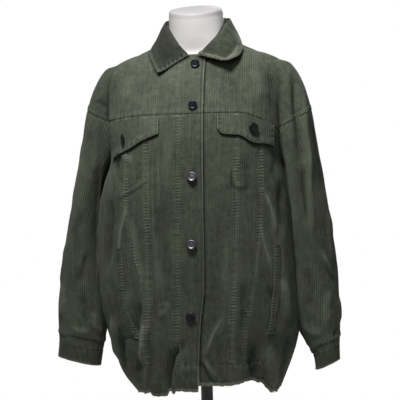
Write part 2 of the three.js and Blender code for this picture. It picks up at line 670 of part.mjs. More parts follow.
// ---------------------------------------------------------------- collar
// Both parts run from the wearer's left front round the back of the neck to the right front.
const NECKLINE_START = 0.16; // the column of a front yoke where the collar begins
function necklinePoint(w) {
  const hand = w < 0.5 ? LEFT : RIGHT;
  const round = 1 - Math.abs(1 - 2 * w);
  if (round < 0.5) return yokePoint(hand, -1, mix(NECKLINE_START, 1, 2 * round), 0);
  return yokePoint(hand, 1, 2 - 2 * round, 0);
}
const CREST_MIDDLE = 5; // the fold's front ends lie either side of this
function curvePoint(rows, w, hand) {
  const round = 1 - Math.abs(1 - 2 * w);
  const pastBack = { ...rows.at(-2), x: -rows.at(-2).x };
  const numbered = [...rows, pastBack].map((row, i) => ({ ...row, at: i / (rows.length - 1) }));
  const { x, y, up } = read(numbered, round, "at");
  return new THREE.Vector3(hand * x, y, HEM + up);
}
function crestPoint(w) {
  const point = curvePoint(CREST, w, w < 0.5 ? LEFT : RIGHT);
  const front = 1 - ease((point.z - HEM - CREST[0].up) / 60);
  point.x += CREST_MIDDLE * front;
  return point;
}
const aroundNeck = (point) => new THREE.Vector3(point.x, point.y, 0).normalize();
const STAND_GAP = { foot: 1.2, fold: 2.5 };
function collarStandPoint(u, v) {
  const [top, foot] = [crestPoint(u), necklinePoint(u)];
  top.addScaledVector(aroundNeck(top), -STAND_GAP.fold);
  foot.z += STAND_GAP.foot;
  return top.lerp(foot, v);
}
add("collar_stand", wall(collarStandPoint, steps(28), steps(2)), corduroy);
const LEAF_BULGE = 4; // how far the leaf rounds out between its fold and its edge
function collarLeafPoint(u, v) {
  const hand = u < 0.5 ? LEFT : RIGHT;
  const top = crestPoint(u);
  top.addScaledVector(aroundNeck(top), DOUBLED);
  top.z += 2;
  const edge = curvePoint(LEAF[hand], u, hand);
  const out = aroundNeck(edge);
  return top.lerp(edge, v).addScaledVector(out, LEAF_BULGE * 4 * v * (1 - v));
}
add("collar_leaf", wall(collarLeafPoint, steps(28), steps(5), DOUBLED), corduroy);

// ---------------------------------------------------------------- buttons
// A shank button, turned about its own axis: a domed rim round a dished middle, on a short shank.
const BUTTON_PROFILE = [
  [0, 0],
  [4, 0],
  [4, BUTTON.shank],
  [BUTTON.radius - 0.6, BUTTON.shank],
  [BUTTON.radius, BUTTON.shank + 1],
  [BUTTON.radius - 1.6, BUTTON.shank + BUTTON.rim],
  [BUTTON.radius - 3.6, BUTTON.shank + BUTTON.dish],
  [0, BUTTON.shank + BUTTON.dish - 0.4],
].map(([radius, height]) => new THREE.Vector2(radius, height));
const buttonShape = new THREE.LatheGeometry(BUTTON_PROFILE, 14).rotateX(QUARTER);

// Puts a button on the front's cloth at a height and a distance around, standing off it.
function addButton(name, hand, up, around, off) {
  const at = (height, arc) => lapped(outlinePoint(height, hand, -1, arc), hand);
  const point = at(up, around);
  const across = at(up, around + 4).sub(at(up, around - 4)).multiplyScalar(hand);
  const normal = across.cross(at(up + 4, around).sub(at(up - 4, around))).normalize();
  const button = add(name, buttonShape.clone(), gunmetal);
  button.position.copy(point).addScaledVector(normal, off);
  button.quaternion.setFromUnitVectors(new THREE.Vector3(0, 0, 1), normal);
}
BUTTON_HEIGHTS.forEach((up, i) => {
  addButton(`button_${i + 1}`, RIGHT, up, -read(CLOSING, up).buttons, SEAM);
});
for (const hand of [RIGHT, LEFT]) {
  const { around, up } = FLAPS[hand].button;
  addButton(`flap_button_${side(hand)}`, hand, up, around, DOUBLED + PATCH_GAP + SEAM);
}

// ---------------------------------------------------------------- dress form and stand
const FORM_COLUMNS = 28;
function formRing({ up, ...ring }) {
  const slope = Math.tan(THREE.MathUtils.degToRad(ring.slant));
  return Array.from({ length: FORM_COLUMNS }, (_, i) => {
    const point = onRing({ up, ...ring }, (i / FORM_COLUMNS) * 4 * QUARTER, LEFT);
    point.z += point.y * slope;
    point.y += ring.lean;
    return point;
  });
}
function formGeometry() {
  const heights = [];
  for (const [i, row] of FORM.entries()) {
    heights.push(row.up);
    const next = FORM[i + 1];
    if (next && next.up - row.up > 65) heights.push((row.up + next.up) / 2);
  }
  const rings = heights.map((up) => formRing({ ...read(FORM, up), up }));
  const [low, high] = [rings[0], rings.at(-1)];
  const middle = (ring) => {
    const sum = new THREE.Vector3();
    for (const point of ring) sum.add(point);
    return sum.divideScalar(ring.length);
  };
  const points = [...rings.flat(), middle(low), middle(high)];
  const faces = [];
  const last = (rings.length - 1) * FORM_COLUMNS;
  for (let j = 0; j < FORM_COLUMNS; j++) {
    const k = (j + 1) % FORM_COLUMNS;
    for (let i = 0; i < last; i += FORM_COLUMNS) {
      faces.push(i + j, i + k, i + FORM_COLUMNS + k, i + j, i + FORM_COLUMNS + k, i + FORM_COLUMNS + j);
    }
    faces.push(points.length - 2, k, j, points.length - 1, last + j, last + k);
  }
  const geometry = new THREE.BufferGeometry().setFromPoints(points);
  geometry.setIndex(faces);
  return geometry;
}
add("form_torso", formGeometry(), formShell);

const turned = (profile, segments) =>
  new THREE.LatheGeometry(profile.map(([x, z]) => new THREE.Vector2(x, z)), segments).rotateX(QUARTER);
const formFloor = HEM + FORM[0].up;
const poleFoot = STAND.baseThick + 8;
add(
  "stand_pole",
  turned(
    [
      [0, poleFoot],
      [STAND.pole, poleFoot],
      [STAND.pole, formFloor - SEAM - STAND.flangeThick],
      [STAND.flange, formFloor - SEAM - STAND.flangeThick],
      [STAND.flange, formFloor - SEAM],
      [0, formFloor - SEAM],
    ],
    24,
  ),
  blackMetal,
);
add(
  "stand_base",
  turned(
    [
      [0, 0],
      [STAND.base - 2, 0],
      [STAND.base, 2],
      [STAND.base, STAND.baseThick - 4],
      [STAND.base - 6, STAND.baseThick],
      [STAND.boss, STAND.baseThick],
      [STAND.boss, poleFoot + 20],
      [STAND.pole + SEAM, poleFoot + 20],
      [STAND.pole + SEAM, poleFoot - SEAM],
      [0, poleFoot - SEAM],
    ],
    36,
  ),
  blackMetal,
);

export default overshirt;
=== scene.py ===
# %% [markdown]
# # A corduroy overshirt on a dress form
# This scene dresses the measured frame of an oversized, raw-edged corduroy overshirt. The cloth is
# cut into the pieces of the real garment: yokes, front and back panels, a hem band, sleeves, cuffs,
# pocket flaps, welts and a collar. Each is a thin shell that lies close to its collision wall (the
# left sleeve's inner side is the farthest off, by up to 24 mm), and folds, seams, stitches, frayed
# threads and shank buttons are added to it.

# %% Load the frame
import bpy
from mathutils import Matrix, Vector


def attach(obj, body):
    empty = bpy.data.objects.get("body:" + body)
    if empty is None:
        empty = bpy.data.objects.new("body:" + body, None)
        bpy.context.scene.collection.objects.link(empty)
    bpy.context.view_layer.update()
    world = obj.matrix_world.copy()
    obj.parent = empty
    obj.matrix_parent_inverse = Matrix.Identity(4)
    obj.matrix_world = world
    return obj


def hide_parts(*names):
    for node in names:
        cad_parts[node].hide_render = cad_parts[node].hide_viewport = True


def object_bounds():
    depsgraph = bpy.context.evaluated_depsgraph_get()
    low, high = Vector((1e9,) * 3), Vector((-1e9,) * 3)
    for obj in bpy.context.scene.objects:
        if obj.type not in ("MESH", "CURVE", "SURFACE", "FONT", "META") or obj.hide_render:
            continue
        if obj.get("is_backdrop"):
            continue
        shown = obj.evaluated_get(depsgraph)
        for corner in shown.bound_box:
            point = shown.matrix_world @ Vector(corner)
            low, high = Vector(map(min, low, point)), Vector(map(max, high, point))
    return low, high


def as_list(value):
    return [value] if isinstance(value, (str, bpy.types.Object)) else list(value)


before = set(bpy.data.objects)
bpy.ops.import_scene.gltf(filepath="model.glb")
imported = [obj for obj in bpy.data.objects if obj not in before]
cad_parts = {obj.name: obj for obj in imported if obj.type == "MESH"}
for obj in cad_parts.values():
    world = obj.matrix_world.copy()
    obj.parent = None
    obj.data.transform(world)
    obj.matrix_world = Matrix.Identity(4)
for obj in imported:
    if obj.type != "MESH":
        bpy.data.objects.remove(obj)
cad_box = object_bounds()
print("the frame's box", cad_box)

# %% What the script works with
import math
import bpy
import numpy as np
from mathutils import Matrix, Vector

# %% [markdown]
# ## Camera, light and floor
# Garments are shown from chest height with a long lens, so that the shoulders and the hem look
# equally wide. The light is a big soft box above and in front, with white all
# round. A dark napped cloth needs the soft box to be much stronger than the white around it, or its
# folds would go flat. The camera therefore sees pure white, and the cloth gets a dimmer white.

# %% Camera
view_turn, view_roll = math.radians(8), math.radians(-1.5)
view_height, view_distance = 0.549, 2.6
bpy.ops.object.camera_add(
    location=(
        view_distance * math.sin(view_turn),
        -view_distance * math.cos(view_turn),
        view_height,
    ),
    rotation=(
        Matrix.Rotation(view_turn, 3, "Z")
        @ Matrix.Rotation(math.radians(90), 3, "X")
        @ Matrix.Rotation(view_roll, 3, "Z")
    ).to_euler(),
)
camera = bpy.context.object
camera.data.lens = 112.5
camera.data.sensor_width = 36
camera.data.shift_x = -0.005
bpy.context.scene.camera = camera
bpy.context.scene.view_settings.view_transform = "Standard"
print("camera at", [round(value, 3) for value in camera.location])

# %% Light
AMBIENT = 0.2


def soft_box(name, place, aim, size, power_watts, colour=(1, 1, 1)):
    bpy.ops.object.light_add(type="AREA", location=place)
    box = bpy.context.object
    box.name = name
    box.rotation_euler = (Vector(place) - Vector(aim)).to_track_quat("Z", "Y").to_euler()
    box.data.shape, box.data.size, box.data.energy = "DISK", size, power_watts
    box.data.color = colour
    return box


soft_box("key", (-0.12, -0.82, 2.0), (0, 0, 0.6), 0.42, 43)
soft_box("fill_left", (1.5, -1.6, 0.8), (0, 0, 0.5), 0.9, 1.8)
soft_box("behind", (0.3, 2.2, 1.5), (0, 0, 0.5), 1.0, 26)

world = bpy.data.worlds.new("white_studio")
bpy.context.scene.world = world
world.use_nodes = True
seen = world.node_tree.nodes.new("ShaderNodeLightPath")
strength = world.node_tree.nodes.new("ShaderNodeMapRange")
strength.inputs["To Min"].default_value = AMBIENT
strength.inputs["To Max"].default_value = 1.0
world.node_tree.links.new(seen.outputs["Is Camera Ray"], strength.inputs["Value"])
backdrop = world.node_tree.nodes["Background"]
backdrop.inputs["Color"].default_value = (1, 1, 1, 1)
world.node_tree.links.new(strength.outputs["Result"], backdrop.inputs["Strength"])
print("ambient light", AMBIENT)

# %% [markdown]
# ## The sizes that the cloth is cut and hung to
# The overshirt is an oversized one that hangs from its shoulders, so what sets its shape is a few
# outlines: rings round the body, rings round each sleeve, the lines of the seams and the collar's
# fold. They could be drawn as curves and lofted. Here they are tables in millimetres, read on a
# smooth curve, because the same tables then place seams, stitches and buttons too. "Up" is counted
# from 150 mm above the ground, the hem's lowest parts. The wearer's left is +X, the front faces -Y.

# %% Tables
LEFT, RIGHT, FRONT, BACK = 1, -1, -1, 1
MM = 0.001
HEM = 150.0
CLOTH, DOUBLED, SEAM = 1.8, 3.0, 0.4
QUARTER = math.pi / 2
NECK = {"front": 692, "side": 724, "back": 728}
YOKE = 571
YOKE_SAG = {RIGHT: 6, LEFT: 31}
DROP = {RIGHT: 598, LEFT: 581}
BAND_TOP = 74
CUFF = {RIGHT: (100, 68), LEFT: (86, 57)}
BUTTON_HEIGHTS = (673, 588, 447, 313, 169)

# up, half width, shift to the left, depth in front and behind, squareness
BODY = [
    (0, 146, 4, 146, 136, 2.15), (20, 155.3, 2.7, 146, 135, 2.2), (52, 172.6, -1.6, 145, 134, 2.25),
    (92, 187, -1, 144, 132, 2.3), (134, 199, -3, 142, 129, 2.35), (194, 206, -8, 140, 126, 2.4),
    (274, 205, -12, 138, 123, 2.45), (396, 198, -14, 133, 118, 2.55), (440, 189, -12, 131, 118, 2.6),
    (484, 177, -9, 128, 118, 2.7), (545, 179, -9, 122, 117, 2.7), (590, 180, -8, 114, 112, 2.6),
    (630, 181, -7, 103, 105, 2.5), (660, 182, -5, 92, 97, 2.35), (675, 178, -3, 86, 91, 2.2),
    (685, 170, -1, 79, 86, 2.1), (698, 143, 0, 71, 79, 2.05), (706, 114, 0, 65, 74, 2),
    (713, 93, 0, 60, 70, 2), (722, 75, 0, 55, 66, 2), (740, 62, 0, 48, 58, 2),
]
# up, outer and inner side, middle and half depth, tip of the ring in degrees
SLEEVES = {
    RIGHT: [
        (60, 316, 227, 4, 36, 14), (100, 312, 219.5, 4, 40, 13), (150, 313, 213, 8, 50, 11),
        (190, 312.5, 217, 14, 58, 7), (250, 304, 222, 19, 65, 3), (310, 296, 222, 23, 71, 0),
        (370, 283, 218, 24, 75, 0), (430, 268.5, 208, 24, 76, 0), (462, 261.5, 196, 24, 76, 0),
        (485, 257, 182, 24, 75, 0), (520, 253, 170, 23, 72, 0), (578, 243.5, 160, 20, 67, 0),
        (622, 230.5, 150, 16, 61, 0), (650, 216.5, 140, 11, 54, 0), (668, 203, 130, 5, 46, 0),
        (679, 189, 120, 0, 38, 0), (690, 156, 90, 0, 26, 0), (740, 50, 20, 0, 10, 0),
    ],
    LEFT: [
        (50, 277, 227, 4, 47, 24), (86, 277, 222, 5, 50, 19), (130, 279, 197, 8, 54, 12),
        (190, 278, 182, 14, 60, 8), (250, 276.5, 182, 19, 66, 3), (310, 269, 182.5, 23, 71, 0),
        (370, 262, 182, 24, 75, 0), (430, 253, 175, 24, 76, 0), (462, 248.5, 170, 24, 76, 0),
        (485, 245, 162, 24, 75, 0), (520, 240, 152, 23, 72, 0), (578, 231, 146, 20, 67, 0),
        (622, 221, 140, 16, 61, 0), (650, 210, 134, 11, 54, 0), (668, 199, 126, 5, 46, 0),
        (679, 187.5, 118, 0, 38, 0), (690, 156, 90, 0, 26, 0), (740, 50, 20, 0, 10, 0),
    ],
}
# up, then the line of buttons, the edge that laps over and the edge that lies under
CLOSING = [
    (0, -10, 3, -34), (143, -8, 10, -33), (222, -6, 19, -31),
    (399, -1, 21, -26), (588, 3, 23, -22), (700, 7, 26, -18),
]
# up, then the two upright seams of each front
SEAMS = {
    RIGHT: [
        (0, 100, 112), (191, 89, 98), (243, 89, 106), (311, 90, 126),
        (395, 94, 137), (505, 93, 136), (580, 93, 137),
    ],
    LEFT: [
        (0, 70, 92), (141, 72, 100), (180, 74, 107), (278, 79, 123),
        (396, 84, 136), (501, 86, 140), (580, 87, 141),
    ],
}
BACK_SEAM = [(0, 64), (200, 74), (400, 86), (580, 97)]
# face, then where a deep fold runs: x at its top and bottom, its top and bottom, how far out, how wide
DEEP_FOLDS = [
    (FRONT, -93, -99, 420, 0, 11, 18), (FRONT, -116, -124, 130, 0, -10, 18),
    (FRONT, -46, -62, 150, 0, -9, 18), (FRONT, 40, 46, 260, 0, -8, 22),
    (FRONT, 78, 82, 330, 0, 8, 24), (FRONT, 118, 114, 200, 0, -9, 20),
    (BACK, -122, -104, 440, 0, 11, 26), (BACK, -60, -52, 420, 0, -9, 24),
    (BACK, 4, -4, 380, 0, 10, 28), (BACK, 60, 52, 430, 0, -10, 24),
    (BACK, 120, 106, 440, 0, 11, 26),
]
print(len(BODY), "rings round the body and", len(SLEEVES[LEFT]), "round each sleeve")


def curve(rows, keys):
    """The columns of a table at any keys, on a smooth curve through its rows."""
    rows, keys = np.asarray(rows, float), np.asarray(keys, float)
    key, values, last = rows[:, 0], rows[:, 1:], len(rows) - 2
    i = np.clip(np.searchsorted(key, keys, side="right") - 1, 0, last)
    before, after = np.maximum(i - 1, 0), np.minimum(i + 2, last + 1)
    span = (key[i + 1] - key[i])[..., None]
    t = np.clip((keys - key[i])[..., None] / span, 0, 1)
    low, high = values[i], values[i + 1]
    slope_low = (high - values[before]) / (key[i + 1] - key[before])[..., None]
    slope_high = (values[after] - low) / (key[after] - key[i])[..., None]
    rise = low * (2 * t**3 - 3 * t**2 + 1) + high * (3 * t**2 - 2 * t**3)
    bend = span * (slope_low * (t**3 - 2 * t**2 + t) + slope_high * (t**3 - t**2))
    return np.moveaxis(rise + bend, -1, 0)


def mix(a, b, share):
    return a + (b - a) * share


def ease(share):
    t = np.clip(share, 0, 1)
    return t * t * (3 - 2 * t)


def power(value, p):
    return np.sign(value) * np.abs(value) ** p


def bell(off, wide, middle=0.0):
    """1 at the middle, falling off smoothly on both sides."""
    return np.exp(-(((off - middle) / wide) ** 2))


def unit(vectors):
    return vectors / np.maximum(np.linalg.norm(vectors, axis=-1, keepdims=True), 1e-9)


# %% [markdown]
# ## The surface that the cloth lies on
# A garment on a form is one smooth shape with a sleeve leaving it on each side. It could be
# sculpted, or draped by simulation, but the pieces have to meet along their seams and each has to
# lie close to its collision wall. So the shape is measured out instead: for each half of the
# front and back, rows of points run along the body and on round the sleeve, and any place is named
# by its distance around from the middle and its height. Every piece, fold and stitch uses it.

# %% The body, the sleeves and where they part
STEP = 2.0  # between the rows of measured points
BODY_STEPS, SLEEVE_STEPS = 240, 100
PAST_MIDDLE = 0.5
SLEEVE_ROUND = 0.92
CORNER_ROUND, CORNER_TOP = 34, 675


def on_ring(hand, turn, up):
    side, shift, front, back, square = curve(BODY, up)
    depth = np.where(np.cos(turn) > 0, front, back)
    x = shift + hand * side * power(np.sin(turn), 2 / square)
    y = -depth * power(np.cos(turn), 2 / square)
    return np.stack([x, y, HEM + up + 0 * x], -1)


def on_body(hand, turn, up):
    """Points of the body, with the deepest folds pushed in and out."""
    points = on_ring(hand, turn, up)
    along = on_ring(hand, turn + 0.01, up) - on_ring(hand, turn - 0.01, up)
    outward = unit(hand * np.stack([along[..., 1], -along[..., 0]], -1))
    out = np.zeros(points.shape[:-1])
    for face, top_x, bottom_x, top, bottom, depth, wide in DEEP_FOLDS:
        down = (top - up) / (top - bottom)
        across = (points[..., 0] - mix(top_x, bottom_x, np.clip(down, 0, 1))) / wide
        mine = (points[..., 1] < 0) == (face == FRONT)
        out += mine * depth * ease(down * 1.6) * np.exp(-across * across)
    points[..., :2] += outward * out[..., None]
    return points


def on_sleeve(hand, around, up):
    outer, inner, middle, deep, tip = curve(SLEEVES[hand], up)
    across = (outer - inner) / 2 * power(np.sin(around), SLEEVE_ROUND)
    x = hand * ((outer + inner) / 2 + across)
    y = middle - deep * power(np.cos(around), SLEEVE_ROUND)
    return np.stack([x, y, HEM + up + across * np.tan(np.radians(tip))], -1)


def parting(hand, face, up):
    """Where the sleeve leaves the body: the turn on the body and the angle round the sleeve."""
    facing = (lambda a: a) if face == FRONT else (lambda a: math.pi - a)
    around = np.linspace(QUARTER, -QUARTER, 700)[None, :]
    points = on_sleeve(hand, facing(around), up[:, None])
    side, shift, front, back, square = (column[:, None] for column in curve(BODY, up))
    depth = np.where(points[..., 1] < 0, front, back)
    x = np.abs((points[..., 0] - shift) / side) ** (square / 2)
    y = np.abs(points[..., 1] / depth) ** (square / 2)
    beyond = x * x + y * y - 1
    rows = np.arange(len(up))
    met = beyond <= 0
    i = np.where(met.any(1), met.argmax(1), around.shape[1] - 1)
    j = np.maximum(i - 1, 0)
    gap = beyond[rows, j] - beyond[rows, i]
    share = np.where(met.any(1) & (gap > 0), beyond[rows, j] / np.where(gap > 0, gap, 1), 1)
    mean = lambda grid: mix(grid[rows, j], grid[rows, i], share)
    angle = mix(around[0, j], around[0, i], share)
    turn = np.arctan2(mean(x), -np.sign(mean(points[..., 1])) * mean(y))
    has_sleeve = beyond[:, 0] > 0
    return np.where(has_sleeve, turn, QUARTER), facing(np.where(has_sleeve, angle, QUARTER)), has_sleeve


class Half:
    """One hand's half of the front or the back, measured from the middle round the sleeve."""

    def __init__(self, hand, face):
        self.hand, self.face = hand, face
        up = np.arange(0, 741, STEP)
        turn, angle, has_sleeve = parting(hand, face, up)
        start = -PAST_MIDDLE if face == FRONT else math.pi + PAST_MIDDLE
        share = np.linspace(0, 1, BODY_STEPS + 1)
        body = on_body(hand, start + (turn[:, None] - start) * share, up[:, None])
        share = np.linspace(0, 1, SLEEVE_STEPS + 1)
        sleeve = on_sleeve(hand, angle[:, None] + (QUARTER - angle[:, None]) * share, up[:, None])
        sleeve[~has_sleeve] = body[~has_sleeve, -1:]
        self.first, self.valley, self.start, self.total = (np.zeros(len(up)) for _ in range(4))
        self.points = np.zeros((len(up), BODY_STEPS + SLEEVE_STEPS + 2, 3))
        for row in range(len(up)):
            line = np.vstack([body[row], sleeve[row]])
            arcs = np.append(0, np.cumsum(np.linalg.norm(np.diff(line, axis=0), axis=1)))
            arcs -= np.interp(0, hand * line[:BODY_STEPS, 0], arcs[:BODY_STEPS])
            first, valley, begin, total = arcs[[0, BODY_STEPS, BODY_STEPS + 1, -1]]
            even = np.append(
                np.linspace(first, valley, BODY_STEPS + 1),
                np.linspace(begin, total, SLEEVE_STEPS + 1),
            )
            on_line = lambda arc: np.stack([np.interp(arc, arcs, line[:, k]) for k in range(3)], -1)
            points = on_line(even)
            rounding = CORNER_ROUND * ease((up[row] - YOKE) / (CORNER_TOP - YOKE))
            reach = min(rounding, (total - valley) * 0.95)
            if reach > 0.5:
                t = np.clip((even - valley + reach) / (2 * reach), 0, 1)[:, None]
                before, after = on_line(valley - reach), on_line(valley + reach)
                corner = line[BODY_STEPS]
                bent = mix(mix(before, corner, t), mix(corner, after, t), t)
                points = np.where((t > 0) & (t < 1), bent, points)
            self.points[row] = points
            self.first[row], self.valley[row] = first, valley
            self.start[row], self.total[row] = begin, total

    def _read(self, values, up):
        return np.interp(np.asarray(up, float) / STEP, np.arange(len(values)), values)

    def limits(self, up):
        """Where the body ends and where the outer side of the sleeve is, at a height."""
        return self._read(self.valley, up), self._read(self.total, up)

    def sleeve_start(self, up):
        """Where the sleeve begins: at the body above the armpit, and clear of it below."""
        return self._read(self.start, up)

    def _on_row(self, row, arc):
        first, valley, start, total = (
            values[row] for values in (self.first, self.valley, self.start, self.total)
        )
        body = (arc - first) / (valley - first) * BODY_STEPS
        between = BODY_STEPS + (arc - valley) / np.maximum(start - valley, 1e-6)
        sleeve = BODY_STEPS + 1 + (arc - start) / np.maximum(total - start, 1e-6) * SLEEVE_STEPS
        place = np.where(arc <= valley, body, np.where(arc < start, between, sleeve))
        place = np.clip(place, 0, BODY_STEPS + SLEEVE_STEPS + 1 - 1e-6)
        i = place.astype(int)
        return mix(self.points[row, i], self.points[row, i + 1], (place - i)[..., None])

    def from_outer(self, away, up):
        """Points of the sleeve at a distance from its outer side."""
        away, up = np.broadcast_arrays(np.asarray(away, float), np.asarray(up, float))
        place = np.clip(up / STEP, 0, len(self.valley) - 1 - 1e-6)
        row = place.astype(int)
        low = self._on_row(row, self.total[row] - away)
        return mix(low, self._on_row(row + 1, self.total[row + 1] - away), (place - row)[..., None])

    def at(self, arc, up):
        arc, up = np.broadcast_arrays(np.asarray(arc, float), np.asarray(up, float))
        place = np.clip(up / STEP, 0, len(self.valley) - 1 - 1e-6)
        row = place.astype(int)
        return mix(self._on_row(row, arc), self._on_row(row + 1, arc), (place - row)[..., None])

    def outward(self, arc, up, reach=3.0):
        along = self.at(np.asarray(arc) + reach, up) - self.at(np.asarray(arc) - reach, up)
        rise = self.at(arc, np.asarray(up) + reach) - self.at(arc, np.asarray(up) - reach)
        return unit(-self.hand * self.face * np.cross(along, rise))


HALVES = {(hand, face): Half(hand, face) for hand in (RIGHT, LEFT) for face in (FRONT, BACK)}
for (hand, face), half in HALVES.items():
    around = [round(float(value)) for value in half.limits(300)]
    print("hand", hand, "face", face, "- side and outer arm at 300 up:", around)

# %% [markdown]
# ## Seams and how high they lie
# The pieces meet along a few seams. Each is given here as a line on the surface: the upright ones by
# their distance around at a height, the level ones by their height at a distance around. The yoke's
# seam drops towards the armhole, and on past it the yoke ends in the armhole's seam on the sleeve.

# %% The lines of the seams
HEM_EDGE = {
    (RIGHT, FRONT): [
        (-12, 24), (0, 22), (30, 23), (44, 22), (53, 16), (62, 21), (67, 12), (96, 12),
        (101, 18), (130, 13), (164, 10), (205, 7), (250, 7), (330, 12),
    ],
    (LEFT, FRONT): [
        (-36, 34), (0, 34), (33, 33), (51, 31), (70, 33), (96, 38), (116, 40), (130, 38),
        (136, 33), (147, 31), (163, 17), (176, 9), (200, 6), (218, 5), (240, 12), (310, 18),
    ],
    (RIGHT, BACK): [(-20, 17), (0, 16), (50, 22), (95, 14), (150, 20), (200, 13), (270, 12)],
    (LEFT, BACK): [(-20, 15), (0, 16), (45, 12), (100, 21), (150, 14), (205, 20), (245, 18)],
}


def front_edge(hand, up):
    over, under = curve(CLOSING, up)[1:]
    return -over if hand == RIGHT else under


def yoke_seam(hand, face, share):
    sag = YOKE_SAG[hand] if face == FRONT else YOKE_SAG[RIGHT]
    return YOKE - sag * ease(np.clip(share, 0, 1) * 2 - 1)


def first_around(hand, face, up):
    return front_edge(hand, up) if face == FRONT else 0 * np.asarray(up, float)


def under_yoke(hand, face, arc):
    """The height of the yoke's lower edge at a distance around: yoke seam, then armhole seam."""
    half = HALVES[hand, face]
    up = np.full(np.shape(arc), float(YOKE))
    for _ in range(4):
        valley, total = half.limits(up)
        first = first_around(hand, face, up)
        at_body = yoke_seam(hand, face, (arc - first) / (valley - first))
        past = np.clip((arc - valley) / np.maximum(total - valley, 1), 0, 1)
        low = yoke_seam(hand, face, 1.0)
        at_arm = mix(low, DROP[hand], np.sin(past * QUARTER))
        up = np.where(arc < valley, at_body, at_arm)
    return up


def sleeve_top(hand, face, share):
    """The height of the armhole's seam at a share of the way from the valley to the outer side."""
    return mix(yoke_seam(hand, face, 1.0), DROP[hand], np.sin(np.clip(share, 0, 1) * QUARTER))


def hem_edge(hand, face, arc):
    return curve(HEM_EDGE[hand, face], arc)[0]


print("the armhole's seam is", DROP[RIGHT] - YOKE, "mm over the yoke's on the right")
